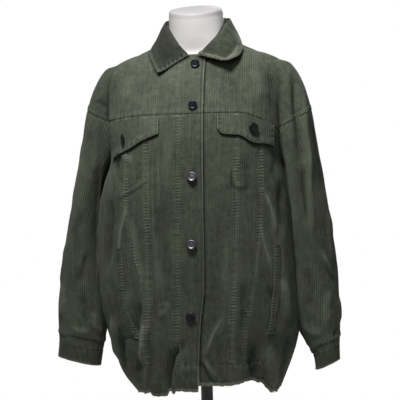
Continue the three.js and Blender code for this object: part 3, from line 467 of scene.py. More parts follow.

# %% [markdown]
# ## Folds and puckers
# Cloth that hangs shows three kinds of relief. There are long soft troughs and ridges from the
# shoulders and pockets down, short sharp wrinkles where it is held, and the small regular puckers
# that topstitching draws up beside each seam. A simulation gives the first kind only, and anew each
# run. Here every fold is a stroke listed one by one, along a line on the cloth, with its own length,
# depth and width, and a steeper side where cloth doubles over. Puckers follow the seams.

# %% The strokes
# for each hand and face: the line as (distance around, up), how far out, how wide before and after it
BODY_STROKES = {
    # pocket lines, the folds at the hem, the drag from the lowest button, dents of the yoke
    (RIGHT, FRONT): [
        ([(138, 400), (141, 372), (153, 338), (159, 303), (165, 270)], 3.2, 9, 4),
        ([(131, 372), (127, 342), (122, 312), (118, 278), (108, 250), (98, 222)], 2.6, 4, 8),
        ([(97, 150), (98, 120), (97, 80), (101, 20)], -5.5, 5, 8),
        ([(103, 165), (108, 114), (118, 98), (124, 70)], 5, 7, 9),
        ([(8, 120), (28, 108), (45, 93), (56, 58), (63, 8)], -5.4, 9, 4),
        ([(4, 122), (22, 108), (40, 95)], 0.8, 6, 7),
        ([(14, 104), (30, 84), (38, 60)], 0.8, 8, 9),
        ([(172, 150), (177, 124), (184, 98), (190, 62), (174, 46)], -8, 7, 12),
        ([(190, 170), (200, 120), (214, 70)], 6, 12, 14),
        ([(130, 128), (150, 127), (172, 124)], -2.4, 3, 4),
        ([(126, 78), (140, 70), (150, 52)], -3.5, 5, 7),
        ([(186, 420), (178, 360), (190, 300), (204, 250)], -5, 12, 9),
        ([(172, 486), (164, 452), (150, 425)], -3.2, 9, 7),
        ([(168, 510), (146, 488), (120, 474)], 2.2, 8, 7),
        ([(60, 420), (64, 330), (58, 240)], -2.4, 13, 11),
        ([(46, 540), (50, 470), (47, 400)], 1.8, 8, 12),
        ([(76, 350), (72, 260), (74, 180)], 2.6, 8, 10),
        ([(110, 200), (124, 160), (130, 118)], -4, 8, 9),
        ([(140, 230), (150, 180), (152, 140)], 3.4, 9, 8),
        ([(46, 198), (60, 178), (80, 170)], 1.6, 6, 6),
        ([(70, 664), (96, 634), (112, 600)], -1.6, 16, 14),
        ([(126, 660), (140, 626), (146, 596)], 1.5, 14, 12),
        ([(172, 660), (182, 620), (184, 572)], -1.5, 10, 8),
    ],
    # the same kinds of fold, none of them a mirror image
    (LEFT, FRONT): [
        ([(144, 420), (154, 388), (164, 356), (172, 318)], 3.2, 8, 4.5),
        ([(130, 360), (140, 310), (156, 258), (168, 240)], 2.8, 9, 4.5),
        ([(60, 176), (46, 152), (33, 132), (24, 110), (15, 92)], 1.7, 10, 5),
        ([(8, 84), (17, 68), (25, 54), (35, 34)], -5.0, 3, 7),
        ([(17, 84), (28, 64), (42, 44)], 3, 5, 10),
        ([(120, 118), (121, 84), (126, 52), (128, 34)], -6.5, 10, 9),
        ([(150, 108), (166, 66), (184, 10)], 4.6, 14, 12),
        ([(206, 140), (210, 90), (216, 20)], -7, 10, 12),
        ([(102, 84), (112, 78), (128, 82)], -2.4, 4, 4),
        ([(96, 240), (104, 180), (98, 120)], -4.2, 9, 11),
        ([(48, 380), (52, 300), (46, 220)], -2.4, 11, 13),
        ([(66, 330), (60, 250), (66, 190)], 2, 8, 8),
        ([(150, 230), (168, 180), (176, 130)], -4, 10, 9),
        ([(182, 240), (196, 200), (204, 150)], 4, 10, 10),
        ([(186, 486), (174, 456), (160, 430)], -1.0, 9, 7),
        ([(196, 440), (188, 380), (196, 320)], -4.5, 10, 12),
        ([(104, 480), (112, 440), (108, 400)], -2, 8, 9),
        ([(62, 660), (88, 628), (98, 598)], -1.6, 14, 16),
        ([(120, 664), (136, 632), (146, 592)], 1.8, 13, 12),
        ([(160, 658), (168, 620), (172, 560)], -1.2, 10, 8),
        ([(34, 640), (38, 604), (36, 578)], 1.0, 8, 8),
    ],
    # a soft box of folds from the yoke and drag lines from each armhole
    (LEFT, BACK): [
        ([(30, 560), (36, 470), (30, 380)], -3, 12, 14),
        ([(112, 560), (108, 480), (120, 400), (128, 330)], 3.6, 10, 13),
        ([(164, 500), (140, 450), (124, 410)], -4, 9, 8),
        ([(172, 470), (158, 410), (150, 350)], 4, 11, 8),
        ([(60, 250), (70, 180), (62, 110)], -5, 10, 13),
        ([(186, 330), (176, 250), (184, 170), (176, 90)], -6, 13, 11),
        ([(150, 200), (158, 140), (150, 60)], 5, 12, 12),
        ([(96, 130), (88, 90), (94, 30)], -4.5, 8, 9),
        ([(54, 664), (84, 646), (120, 640)], -1.6, 12, 12),
    ],
    (RIGHT, BACK): [
        ([(26, 560), (22, 500), (30, 420)], 2.4, 12, 10),
        ([(104, 566), (114, 500), (106, 430)], -3.4, 11, 13),
        ([(160, 506), (136, 466), (112, 440)], -3.8, 8, 9),
        ([(178, 480), (160, 430), (156, 370), (164, 300)], 4.6, 10, 9),
        ([(92, 330), (84, 250), (92, 170)], -4.4, 11, 10),
        ([(196, 350), (188, 270), (198, 190), (190, 100)], -5.6, 12, 12),
        ([(150, 240), (144, 160), (152, 70)], 5.4, 11, 14),
        ([(34, 150), (40, 100), (34, 30)], -4, 9, 8),
        ([(60, 660), (80, 640), (110, 634)], -1.6, 12, 12),
    ],
}
# The same on the sleeves, whose distances count from the outer side: less than 0 is in front.
SLEEVE_STROKES = {
    RIGHT: [
        ([(-100, 520), (-116, 470), (-134, 416), (-148, 352), (-151, 298), (-143, 240),
          (-152, 205)], 4.2, 4, 13),
        ([(-128, 470), (-146, 410), (-160, 340), (-163, 280)], -5, 7, 7),
        ([(-60, 560), (-78, 500), (-86, 430)], -3, 10, 12),
        ([(-30, 540), (-46, 460), (-56, 380)], 2.8, 12, 9),
        ([(-96, 390), (-84, 330), (-92, 270)], -3.2, 9, 12),
        ([(-60, 330), (-52, 280), (-36, 240), (-20, 222)], 3.2, 9, 8),
        ([(-118, 300), (-104, 256), (-84, 226)], -3, 8, 9),
        ([(-44, 232), (-52, 190), (-38, 150)], 3, 8, 10),
        ([(-96, 214), (-106, 176), (-98, 140)], -3.2, 8, 8),
        ([(-14, 420), (-24, 350), (-14, 290)], -3, 11, 9),
        ([(-128, 180), (-120, 150), (-134, 128)], 2.6, 7, 7),
        ([(-62, 138), (-84, 134), (-108, 138)], 3.2, 6, 5),
        ([(-70, 612), (-84, 600), (-98, 592)], -2, 7, 6),
        ([(30, 540), (44, 470), (40, 390), (52, 310)], -4, 11, 13),
        ([(84, 520), (76, 440), (88, 350)], 4, 12, 10),
        ([(26, 330), (46, 270), (36, 200)], 3.6, 10, 10),
        ([(100, 330), (86, 260), (96, 190)], -4, 10, 12),
        ([(60, 200), (70, 160), (60, 128)], -3, 8, 9),
        ([(122, 480), (134, 400), (128, 300)], -4, 9, 9),
    ],
    LEFT: [
        ([(-46, 668), (-54, 634), (-67, 598), (-76, 566), (-81, 525), (-92, 474), (-98, 436)], -6, 4, 8),
        ([(-36, 650), (-44, 600), (-60, 540), (-68, 480), (-74, 420)], 3.4, 8, 10),
        ([(-84, 470), (-94, 420), (-98, 380), (-102, 330)], -3.4, 4, 8),
        ([(-64, 520), (-76, 460), (-84, 400), (-88, 330), (-84, 280)], 3, 6, 11),
        ([(-120, 520), (-122, 450), (-130, 380), (-134, 300)], 2.8, 9, 8),
        ([(-20, 560), (-30, 480), (-26, 400)], -2.8, 10, 12),
        ([(-30, 380), (-44, 320), (-40, 250)], 2.6, 10, 9),
        ([(-74, 292), (-64, 270), (-54, 250), (-40, 236)], 3.4, 5, 4),
        ([(-66, 268), (-52, 240), (-36, 214)], -1.4, 7, 9),
        ([(-110, 260), (-96, 210), (-100, 160)], -3.4, 9, 10),
        ([(-50, 210), (-62, 170), (-54, 130)], 3, 9, 10),
        ([(-20, 190), (-8, 158), (-16, 128)], 3.2, 12, 12),
        ([(-116, 150), (-92, 128), (-64, 122)], 2.6, 6, 6),
        ([(-28, 128), (-34, 116), (-46, 110)], -2.6, 5, 5),
        ([(34, 560), (46, 480), (38, 400)], -4, 12, 11),
        ([(90, 530), (80, 450), (92, 370), (84, 300)], 4, 11, 12),
        ([(24, 380), (42, 300), (34, 230)], 3.6, 10, 11),
        ([(96, 300), (84, 230), (94, 160)], -4, 10, 10),
        ([(126, 470), (134, 390), (128, 300)], -4, 9, 9),
        ([(56, 210), (66, 160), (58, 120)], -3.2, 8, 9),
    ],
}
body_count, sleeve_count = (sum(map(len, t.values())) for t in (BODY_STROKES, SLEEVE_STROKES))
print(body_count, "folds on the body and", sleeve_count, "on the sleeves")


def stroke(x, y, line, out, before, after):
    """How far one fold pushes the cloth at (x, y) out. It fades towards both ends of its line."""
    line = np.asarray(line, float)
    lengths = np.linalg.norm(np.diff(line, axis=0), axis=1)
    best, result = np.full(x.shape, 1e9), np.zeros(x.shape)
    done = 0.0
    for i, length in enumerate(lengths):
        tangent = (line[i + 1] - line[i]) / length
        dx, dy = x - line[i, 0], y - line[i, 1]
        along = np.clip(dx * tangent[0] + dy * tangent[1], 0, length)
        off_x, off_y = dx - along * tangent[0], dy - along * tangent[1]
        side = off_x * tangent[1] - off_y * tangent[0]
        gap = np.hypot(off_x, off_y)
        share = (done + along) / lengths.sum()
        fade = ease(np.minimum(share, 1 - share) * 3.2 + 0.04)
        wide = np.where(side < 0, before, after)
        pushed = out * fade * bell(gap, wide)
        result = np.where(gap < best, pushed, result)
        best = np.minimum(best, gap)
        done += length
    return result


def unevenness(x, y, across, along, seed):
    """Smooth noise from -1 to 1, with cells of the given size. It is the same on every run."""
    lattice = np.random.default_rng(1000 + seed).uniform(-1, 1, (64, 64))
    u, v = x / across + 31.7, y / along + 17.3
    i, j = np.floor(u).astype(int), np.floor(v).astype(int)
    s, t = ease(u - i), ease(v - j)
    corner = lambda a, b: lattice[(i + a) % 64, (j + b) % 64]
    return mix(mix(corner(0, 0), corner(1, 0), s), mix(corner(0, 1), corner(1, 1), s), t)


# %% The seams' relief
PUCKER = 12.5  # from one larger pucker to the next along a seam
FELL = 8.5  # the width of the doubled cloth beside a seam


def beside_seam(off, along, seed, fell=1, height=0.55, spread=8.0):
    """Relief, wear and fine puckers at a distance off from a seam. The cloth is doubled where
    fell is 1, and single where it is -1."""
    drift = unevenness(along, 0 * along, 17, 1, seed) * 3.4
    ripple = np.sin(2 * math.pi * along / PUCKER + drift)
    strength = 0.55 + 0.45 * unevenness(along, 0 * along, 37, 1, seed + 1)
    drawn_up = ease(0.55 + 0.9 * unevenness(along, 0 * along, 41, 1, seed + 2))
    near = bell(off, spread if fell >= 0 else spread * 0.55)
    doubled = ease(off * fell / 1.5) * (1 - ease((off * fell - FELL) / 2.5))
    groove = bell(off, 1.1)
    relief = height * strength * ripple * near + 0.6 * doubled - 0.5 * groove
    wear = near * strength * (0.2 + 0.26 * ripple) + 0.12 * doubled - 0.1 * groove
    return relief, wear, near * (0.2 + 0.8 * drawn_up)

# %% [markdown]
# ## What pulls every part of the cloth out of its smooth surface
# A garment's folds run on over its seams, so the folds, the soft unevenness and the lap of the
# right front are worked out for a place on the cloth and not for a piece. A panel, its hem band, a
# flap and a button that lie on the same place then move together and never cut into each other.

# %% The relief of the body and of the sleeves
FOLD_DEPTH = 1.5


def body_folds(hand, face, arc, up):
    out = np.zeros(np.shape(arc))
    for fold in BODY_STROKES[hand, face]:
        out += stroke(arc, up, *fold)
    return out


def fold_wear_and_shade(folds):
    """Folds get pale along their ridges, partly from wear and partly as a painted highlight, and their
    troughs get painted shade.
    """
    return 0.34 * np.tanh(folds / 2.6)


def body_relief(hand, face, arc, up):
    out = FOLD_DEPTH * body_folds(hand, face, arc, up)
    sign = hand * face * 37
    out += 1.2 * unevenness(arc, up, 31, 74, 11 + sign) * ease((690 - up) / 60)
    out += 0.4 * unevenness(arc, up, 9, 24, 12 + sign) * ease((620 - up) / 60)
    inward = -1.2 - 60 * ease((640 - up) / 60)
    return np.maximum(out, inward)


def sleeve_folds(hand, around, up):
    """around is the distance from the sleeve's outer side, less than 0 in front."""
    out = np.zeros(np.shape(around))
    for fold in SLEEVE_STROKES[hand]:
        out += stroke(around, up, *fold)
    return out


def sleeve_relief(hand, around, up):
    out = FOLD_DEPTH * sleeve_folds(hand, around, up)
    out += 1.1 * unevenness(around, up, 27, 66, 51 + hand)
    return out + 0.3 * unevenness(around, up, 8, 20, 52 + hand)


LAP_PAST, LAP_RAMP, LAP_LIFT = 22, 20, CLOTH + 3 * SEAM


def lapped(hand, face, points):
    """The right front laps over the left one, so it stands off the surface there."""
    if hand == RIGHT and face == FRONT:
        under = curve(CLOSING, points[..., 2] - HEM)[2]
        over = ease((points[..., 0] - under + LAP_PAST + LAP_RAMP) / LAP_RAMP)
        points[..., 1] -= LAP_LIFT * over
    return points


def on_cloth(hand, face, arc, up, off=0.0, folds=True):
    """A place on the cloth of the body or the yokes, with its folds, and off above its surface."""
    half = HALVES[hand, face]
    points, normals = half.at(arc, up), half.outward(arc, up)
    if folds:
        valley, total = half.limits(up)
        around = face * (total - arc)
        arm_share = ease((arc - valley + 14) / 28)
        off = off + body_relief(hand, face, arc, up) * (1 - arm_share)
        off = off + sleeve_relief(hand, around, up) * arm_share
    return lapped(hand, face, points + normals * np.asarray(off)[..., None])


def on_arm(hand, around, up, off=0.0):
    """A place on a sleeve, by its distance from the outer side."""
    points, normals = np.zeros((*np.shape(around), 3)), np.zeros((*np.shape(around), 3))
    for face in (FRONT, BACK):
        at = lambda side, height: HALVES[hand, face].from_outer(np.abs(side), height)
        mine = (around < 0) == (face == FRONT)
        place, height = around[mine], up[mine]
        points[mine] = at(place, height)
        reach = 2.5
        aside = np.abs(place)
        along = at(aside - reach, height) - at(aside + reach, height)
        rise = at(aside, height + reach) - at(aside, height - reach)
        normals[mine] = unit(-hand * face * np.cross(along, rise))
    off = off + sleeve_relief(hand, around, up)
    return points + normals * off[..., None]


probe = on_cloth(LEFT, FRONT, np.array([100.0]), np.array([300.0]))[0]
print("a place on the left front", [round(float(value), 1) for value in probe])

# %% [markdown]
# ## Weaving a piece
# Wide-wale corduroy is a cloth with raised cords of pile every 4.6 mm. A bump texture alone would
# leave its outline and its folds smooth, so the cords are in the mesh: the columns of each grid
# follow the cords, one in every groove and one on each shoulder of a cord. The cords run straight
# up the cloth and are cut off by the seams, as on cloth that was cut out with scissors.

# %% Columns that follow the cords
WALE = 4.6
CORD_SHOULDERS = (0.27, 0.73)
CORD_HEIGHT = 0.42


def cord_columns(first, last):
    cords = np.arange(math.floor(first / WALE) - 1, math.ceil(last / WALE) + 1)
    columns = np.sort(np.concatenate([(cords + share) * WALE for share in (0, *CORD_SHOULDERS)]))
    inside = columns[(columns > first + 0.3) & (columns < last - 0.3)]
    return np.concatenate([[first], inside, [last]])


def cord(across):
    """The height of the cords, from 0 in a groove to 1 on a cord."""
    return np.minimum(1, 1.8 * np.sin(math.pi * across / WALE) ** 2)


# %% A piece of cloth from its grid of points
def select_only(piece):
    bpy.ops.object.select_all(action="DESELECT")
    piece.select_set(True)
    bpy.context.view_layer.objects.active = piece


def edit(piece, *steps):
    """Runs edit mode operators, each given as (operator, its settings), on the whole piece."""
    select_only(piece)
    bpy.ops.object.mode_set(mode="EDIT")
    bpy.ops.mesh.select_all(action="SELECT")
    for step, settings in steps:
        step(**settings)
    bpy.ops.object.mode_set(mode="OBJECT")


def apply_modifier(piece, kind, **settings):
    select_only(piece)
    modifier = piece.modifiers.new("shape", kind)
    for name, value in settings.items():
        setattr(modifier, name, value)
    bpy.ops.object.modifier_apply(modifier=modifier.name)


MARKS = ("wear", "raw", "upright", "level")


def marked(points, around, up, wear, raw=0, upright=0, level=0):
    """A grid's points and places, with its marks: how pale (from wear and painted highlights) and below 0
    how dark (from painted shade) the cloth is, how raw it is, and how much it is puckered beside an
    upright or a level seam."""
    marks = [np.clip(mark + 0 * wear, -1, 1) for mark in (wear, raw, upright, level)]
    return [points, around, up, np.stack(marks, -1)]


def weave(name, points, around, up, marks):
    """A sheet from a grid of points in mm, whose columns run to the right as seen from outside."""
    rows, columns = points.shape[:2]
    bpy.ops.object.select_all(action="DESELECT")
    bpy.ops.mesh.primitive_grid_add(x_subdivisions=columns - 1, y_subdivisions=rows - 1, size=2)
    piece = bpy.context.object
    piece.name = piece.data.name = name
    flat = np.zeros(len(piece.data.vertices) * 3)
    piece.data.vertices.foreach_get("co", flat)
    column = np.rint((flat[0::3] + 1) / 2 * (columns - 1)).astype(int)
    row = np.rint((flat[1::3] + 1) / 2 * (rows - 1)).astype(int)
    piece.data.vertices.foreach_set("co", (points[row, column] * MM).ravel())
    corner = np.zeros(len(piece.data.loops), int)
    piece.data.loops.foreach_get("vertex_index", corner)
    places = np.stack([around[row, column][corner], up[row, column][corner]], -1) * MM
    piece.data.uv_layers[0].data.foreach_set("uv", places.ravel())
    for i, label in enumerate(MARKS):
        layer = piece.data.attributes.new(label, "FLOAT", "POINT")
        layer.data.foreach_set("value", marks[row, column, i])
    edit(
        piece,
        (bpy.ops.mesh.remove_doubles, {"threshold": 0.00012}),
        (bpy.ops.mesh.dissolve_degenerate, {"threshold": 0.00002}),
    )
    return piece


def line_with_back(piece, thick, finishes):
    """Gives a woven piece its thickness and its two finishes: the right side and the wrong side."""
    for finish in finishes:
        piece.data.materials.append(finish)
    apply_modifier(piece, "SOLIDIFY", thickness=thick * MM, offset=-1, material_offset=1)
    select_only(piece)
    bpy.ops.object.shade_smooth_by_angle(angle=math.radians(62))
    print(piece.name, len(piece.data.polygons), "faces")
    return piece


# %% [markdown]
# ## Worn lines, painted highlights and painted shadows
# Cloth that is often worn gets pale lines where a pocket behind it or a fold pushes it out; on the
# ridges they are partly painted highlights. Painted shadow darkens the cloth under the edges of the
# flaps, the collar and the lapped front, and along some creases.

# %% Flaps and collar, with painted shadows below their edges
FLAPS = {  # distance around, top edge, bottom edge
    RIGHT: [(67, 565, 533), (99, 564, 521), (137, 562, 503), (184, 560, 488)],
    LEFT: [
        (51, 565, 540), (60, 564, 530), (96, 562, 525),
        (122, 559, 511), (153, 554, 508), (176, 546, 504),
    ],
}
FLAP_BUTTON = {RIGHT: (141, 527), LEFT: (122, 539)}
CREST = [
    (7.5, -80, 691), (21.2, -74, 714), (43, -56, 735), (57, -32, 755),
    (65, 2, 771), (50, 38, 779), (0, 60, 781),
]
LEAF_EDGE = {
    RIGHT: [
        (69, -100, 658), (82, -82, 680), (93, -53, 703), (94, -12, 717),
        (88, 30, 721), (60, 68, 722), (0, 84, 720),
    ],
    LEFT: [
        (76, -103, 677), (93, -83, 687), (99, -54, 703), (94, -12, 717),
        (88, 30, 721), (60, 68, 722), (0, 84, 720),
    ],
}

# %% Worn lines, painted highlights and painted shadows
PALE_AND_SHADED_LINES = {  # the line on the front, how pale (wear, and on ridges a painted highlight) or, below 0, how dark (painted shade in a crease or by a pocket's edge), its width
    RIGHT: [
        ([(136, 388), (145, 362), (153, 338), (159, 303), (165, 270)], 0.75, 1.7),
        ([(135, 376), (129, 342), (124, 312), (119, 278), (111, 254), (99, 222)], 0.8, 1.7),
        ([(92, 512), (90, 420), (93, 330)], 0.35, 1.6),
        ([(80, 500), (82, 400), (79, 290)], 0.3, 1.6),
        ([(70, 520), (68, 420), (71, 360)], 0.35, 1.5),
        ([(172, 414), (156, 405), (120, 420), (84, 442)], -0.95, 2.4),
        ([(172, 422), (156, 413), (120, 428), (84, 450)], 0.25, 2.6),
        ([(120, 420), (112, 452), (100, 462)], -0.35, 1.8),
        ([(125, 128), (150, 126), (172, 124)], 0.45, 2.4),
        ([(14, 117), (31, 106), (47, 90), (57, 54), (64, 6)], -0.95, 2.6),
        ([(102, 166), (106, 120), (114, 98), (122, 66)], 0.5, 2.0),
        ([(46, 198), (64, 196), (84, 190)], 0.35, 2.2),
    ],
    LEFT: [
        ([(144, 416), (155, 388), (165, 356), (173, 320)], 0.85, 1.8),
        ([(133, 352), (142, 306), (158, 256), (167, 243)], 0.6, 1.7),
        ([(58, 172), (46, 152), (34, 134), (24, 108), (15, 90)], 0.7, 1.8),
        ([(77, 470), (77, 428), (94, 418), (124, 428)], -0.95, 2.4),
        ([(84, 470), (83, 436), (95, 427), (122, 437)], 0.3, 2.4),
        ([(84, 462), (104, 460), (116, 464)], -0.35, 2.2),
        # painted light on the left side, which the sleeve shades
        ([(172, 420), (180, 340), (180, 260), (172, 180)], 0.5, 16.0),
        ([(80, 448), (98, 445), (112, 450)], -0.3, 2.2),
        ([(104, 88), (114, 80), (128, 84)], 0.45, 2.2),
        ([(12, 86), (22, 66), (34, 42)], 0.45, 1.8),
        ([(196, 300), (186, 286), (190, 268)], 0.6, 2.0),
    ],
}


def to_polyline(x, y, line):
    """The distance from (x, y) to a line."""
    nearest = np.full(np.shape(x), 1e9)
    for (x0, y0), (x1, y1) in zip(line, line[1:]):
        along = ((x - x0) * (x1 - x0) + (y - y0) * (y1 - y0)) / math.hypot(x1 - x0, y1 - y0) ** 2
        along = np.clip(along, 0, 1)
        nearest = np.minimum(nearest, np.hypot(x - mix(x0, x1, along), y - mix(y0, y1, along)))
    return nearest


def pale_and_dark_marks(hand, face, arc, up):
    """How pale each place of the body or a yoke is, from wear and painted highlights, and below 0 how dark,
    from painted shade.
    """
    pale = fold_wear_and_shade(body_folds(hand, face, arc, up))
    if face == BACK:
        return pale
    for line, strength, width in PALE_AND_SHADED_LINES[hand]:
        pale = pale + stroke(arc, up, line, strength, width, width)
    # painted shadow below each flap and beside its ends
    top, bottom = curve(FLAPS[hand], arc)
    beside = np.maximum(FLAPS[hand][0][0] - arc, arc - FLAPS[hand][-1][0])
    below = np.maximum(bottom - up - 1.5, 0)
    pale = pale - 1.0 * bell(below, 3.6) * (beside < 1) * (up < top - 3)
    level = (up > bottom) & (up < top - 3)
    pale = pale - 0.55 * bell(np.maximum(beside, 0), 1.8) * level
    # painted shadow along the lapped edge of the right front
    if hand == LEFT:
        from_lap = arc - curve(CLOSING, up)[1]
        pale = pale - 1.4 * bell(from_lap, 2.2, 1.4)
    # painted shadow below the collar's leaf
    place = HALVES[hand, face].at(arc, up)
    line = [(x + 0.8, HEM + high - 3) for x, y, high in [CREST[0], *LEAF_EDGE[hand][:4]]]
    from_collar = to_polyline(np.abs(place[..., 0]), place[..., 2], line)
    return pale - 1.0 * bell(from_collar, 3.6)


print(sum(map(len, PALE_AND_SHADED_LINES.values())), "worn lines")

# %% [markdown]
# ## Body panels and the hem band
# Each panel lies between two upright seams and two level ones. It could be cut out of one big sheet
# with booleans, but a grid of its own ends exactly on its seams. A cord's column that meets a seam
# follows the seam from there on, and its spare points are merged away.

# %% A panel between its seams
SHEETS = []


def panel_grid(left, right, low, high, rows):
    """The places of a panel's points. left and right are functions of the height, low and high
    functions of the distance around."""
    heights = np.linspace(0, 600, 121)
    first, last = np.min(left(heights)), np.max(right(heights))
    columns = cord_columns(first, last)
    share = np.linspace(0, 1, rows + 1)[:, None]
    up = mix(low(columns), high(columns), share)
    arc = columns + 0 * up
    for _ in range(6):
        arc = np.clip(columns + 0 * up, left(up), right(up))
        up = mix(low(arc), high(arc), share)
    return columns + 0 * up, arc, up


def seam_effects(edges, fells, heights):
    """Adds up what every edge does: edges are (distance from it, distance along it, seed)."""
    relief, wear, rungs = 0, 0, []
    for (off, along, seed), fell, height in zip(edges, fells, heights):
        pushed, worn, rung = beside_seam(off, along, seed, fell, height)
        relief, wear = relief + pushed, wear + worn
        rungs.append(rung)
    return relief, wear, rungs


def cords_on(grain, arc):
    """The cords' relief, which a point has only where its column doesn't run along a seam."""
    return CORD_HEIGHT * (cord(grain) - 1) * np.where(np.abs(grain - arc) < 1e-3, 1.0, 0.0)


def band_seam(arc):
    return np.full(np.shape(arc), float(BAND_TOP))


def upright_seam(hand, face, number):
    """The upright seams of half the front or half the back, as functions of the height."""
    if number == 0:
        return lambda up: first_around(hand, face, up)
    if face == FRONT and number < 3:
        return lambda up: curve(SEAMS[hand], up)[number - 1]
    if face == BACK and number < 2:
        return lambda up: curve(BACK_SEAM, up)[0]
    return lambda up: HALVES[hand, face].limits(up)[0]


GAP = 0.06  # half of what is left open along a seam
EDGE_LIGHT = 0.9


def lapping_edge(relief, wear, edge, light=EDGE_LIGHT):
    """Adds an edge that laps over: pale along itself, partly from wear and partly as a painted highlight,
    with a dark groove at its stitches.
    """
    wear = wear + light * bell(edge, 1.7) - 0.55 * bell(edge, 1.1, 4.2)
    return relief - 0.5 * bell(edge, 1.2, 4.4), wear


def body_panel(hand, face, number, rows, free_start=False, facing=None):
    left = upright_seam(hand, face, number)
    right = upright_seam(hand, face, number + 1)
    open_left = 0 if free_start or number == 0 else GAP
    low = lambda arc: band_seam(arc) + GAP
    high = lambda arc: under_yoke(hand, face, np.minimum(arc, HALVES[hand, face].limits(YOKE)[0] - 1))
    grain, arc, up = panel_grid(
        lambda u: left(u) + open_left, lambda u: right(u) - GAP, low, high, rows
    )
    seed = 100 + 10 * number + 3 * hand + face
    edges = [(high(arc) - up, arc, 901 + hand + 4 * face), (up - low(arc), arc, 921 + hand + 4 * face)]
    fells, heights = [-1, -1], [0.45, 0.5]
    if not (free_start or number == 0):
        edges.append((arc - left(up), up, seed))
        fells.append(1)
        heights.append(0.5)
    edges.append((right(up) - arc, up, seed + 10))
    fells.append(-1)
    heights.append(0.5)
    relief, wear, rungs = seam_effects(edges, fells, heights)
    level, upright = np.maximum(*rungs[:2]), np.maximum(rungs[2], rungs[-1])
    if facing:
        off = arc - facing(up)
        pushed, worn, rung = beside_seam(-off, up, 555, 1, 0.42, 10)
        relief, wear = relief + pushed * 0.8, wear + worn * 0.8
        upright = np.maximum(upright, 0.9 * rung * (off < 1.5))
    if free_start:
        edge = arc - left(up)
        # the lapping edge's pale line, partly a painted highlight, is fainter lower down
        light = EDGE_LIGHT * mix(0.45, 1, ease((up - 370) / 80))
        relief, wear = lapping_edge(relief, wear, edge, light)
    relief = relief + cords_on(grain, arc)
    points = on_cloth(hand, face, arc, up, relief)
    wear = wear + pale_and_dark_marks(hand, face, arc, up)
    return marked(points, arc, up, wear, 0, upright, 0.5 * level)


def facing_line(up):
    return np.interp(up, [74, 203, 400, 573], [44, 38, 33, 31])


def as_seen(hand, face, grids):
    """Turns grids round so that their columns run to the right, seen from outside."""
    return grids if hand * face < 0 else [grid[:, ::-1] for grid in grids]


def make(name, grids, flat, area, rests_on, thick=CLOTH, held="hung"):
    piece = weave(name, *grids)
    SHEETS.append((piece, flat, area, rests_on, thick, held))
    return piece


SIDE = {RIGHT: "right", LEFT: "left"}


def make_pair(kind, grids_of, flat, areas, rests_on, thick=CLOTH):
    """The right and the left piece of a kind. In rests_on, {} stands for the side."""
    for hand, area in zip((RIGHT, LEFT), areas):
        name, holder = f"cloth_{kind}_{SIDE[hand]}", rests_on.format(SIDE[hand])
        make(name, grids_of(hand), flat, area, [holder], thick=thick)


WEDGE_CUT = {RIGHT: ((0.05, 0.5), 0.0141), LEFT: ((0.066, 0.5), 0.0211)}
SIDE_CUT = {RIGHT: ((0.28, 0.5), 0.0828), LEFT: ((0.25, 0.5), 0.0706)}
for hand in (RIGHT, LEFT):
    side = SIDE[hand]
    yoke = f"cloth_front_yoke_{side}"
    facing = facing_line if hand == RIGHT else None
    centre = body_panel(hand, FRONT, 0, 122, free_start=True, facing=facing)
    make(f"cloth_front_centre_{side}", as_seen(hand, FRONT, centre), (0.13, 0.5), 0.053, [yoke])
    wedge = body_panel(hand, FRONT, 1, 122)
    flat, area = WEDGE_CUT[hand]
    make(f"cloth_front_wedge_{side}", as_seen(hand, FRONT, wedge), flat, area, [yoke])
    outer = body_panel(hand, FRONT, 2, 122)
    flat, area = SIDE_CUT[hand]
    make(f"cloth_front_side_{side}", as_seen(hand, FRONT, outer), flat, area, [yoke])
    back = body_panel(hand, BACK, 1, 84)
    make(f"cloth_back_side_{side}", as_seen(hand, BACK, back), (0.26, 0.5), 0.077, ["cloth_back_yoke"])


def both_hands(make_half):
    """Joins the grids of the left and the right half of a back piece along the middle."""
    left, right = make_half(LEFT), make_half(RIGHT)
    joined = []
    for i, (a, b) in enumerate(zip(left, right)):
        a, b = a[:, ::-1], b[:, 1:]
        joined.append(np.concatenate([-a if i == 1 else a, b], 1))
    return joined


middle_panels = both_hands(lambda hand: body_panel(hand, BACK, 0, 84))
make("cloth_back_centre", middle_panels, (0.2, 0.5), 0.083, ["cloth_back_yoke"])
print(len(SHEETS), "pieces so far")

# %% [markdown]
# ## Yokes
# A yoke ends in the neckline and in the shoulder seam at its top, and in the yoke seam and the
# armhole seam below. Over the shoulder its surface lies almost flat, so rows at even heights would
# leave wide gaps there. The rows are spread by their distance along the cloth instead.

# %% The yokes' upper edge
NECK_FLAT = 0.14
SPLIT = 8 / 13  # the share of a yoke's neckline that belongs to its body part


def neckline(hand, face):
    """The neckline from the middle to the side of the neck, as distances around and heights."""
    u = np.linspace(0, 1, 61)
    neck, flat = (NECK["front"] + 2, NECK_FLAT) if face == FRONT else (NECK["back"], 0)
    up = mix(neck, NECK["side"], np.sin(np.clip((u - flat) / (1 - flat), 0, 1) * QUARTER))
    valley, total = HALVES[hand, face].limits(up)
    start, end = first_around(hand, face, up), total - GAP
    most = mix(0.84, 0.65, ease((up - 678) / 50))
    split = np.minimum(most, (valley - start) / (end - start))
    share = np.where(u < SPLIT, u / SPLIT * split, mix(split, 1, (u - SPLIT) / (1 - SPLIT)))
    return mix(start, end, share), up


def yoke_top(hand, face, arc):
    around, up = neckline(hand, face)
    shoulder_up = np.linspace(NECK["side"], DROP[hand], 300)[1:]
    shoulder = HALVES[hand, face].limits(shoulder_up)[1] - GAP
    return np.interp(arc, np.append(around, shoulder), np.append(up, shoulder_up))


# %% Front and back yokes
CAP_SLANT = math.radians(35)  # of the cords where the yoke runs on over the sleeve


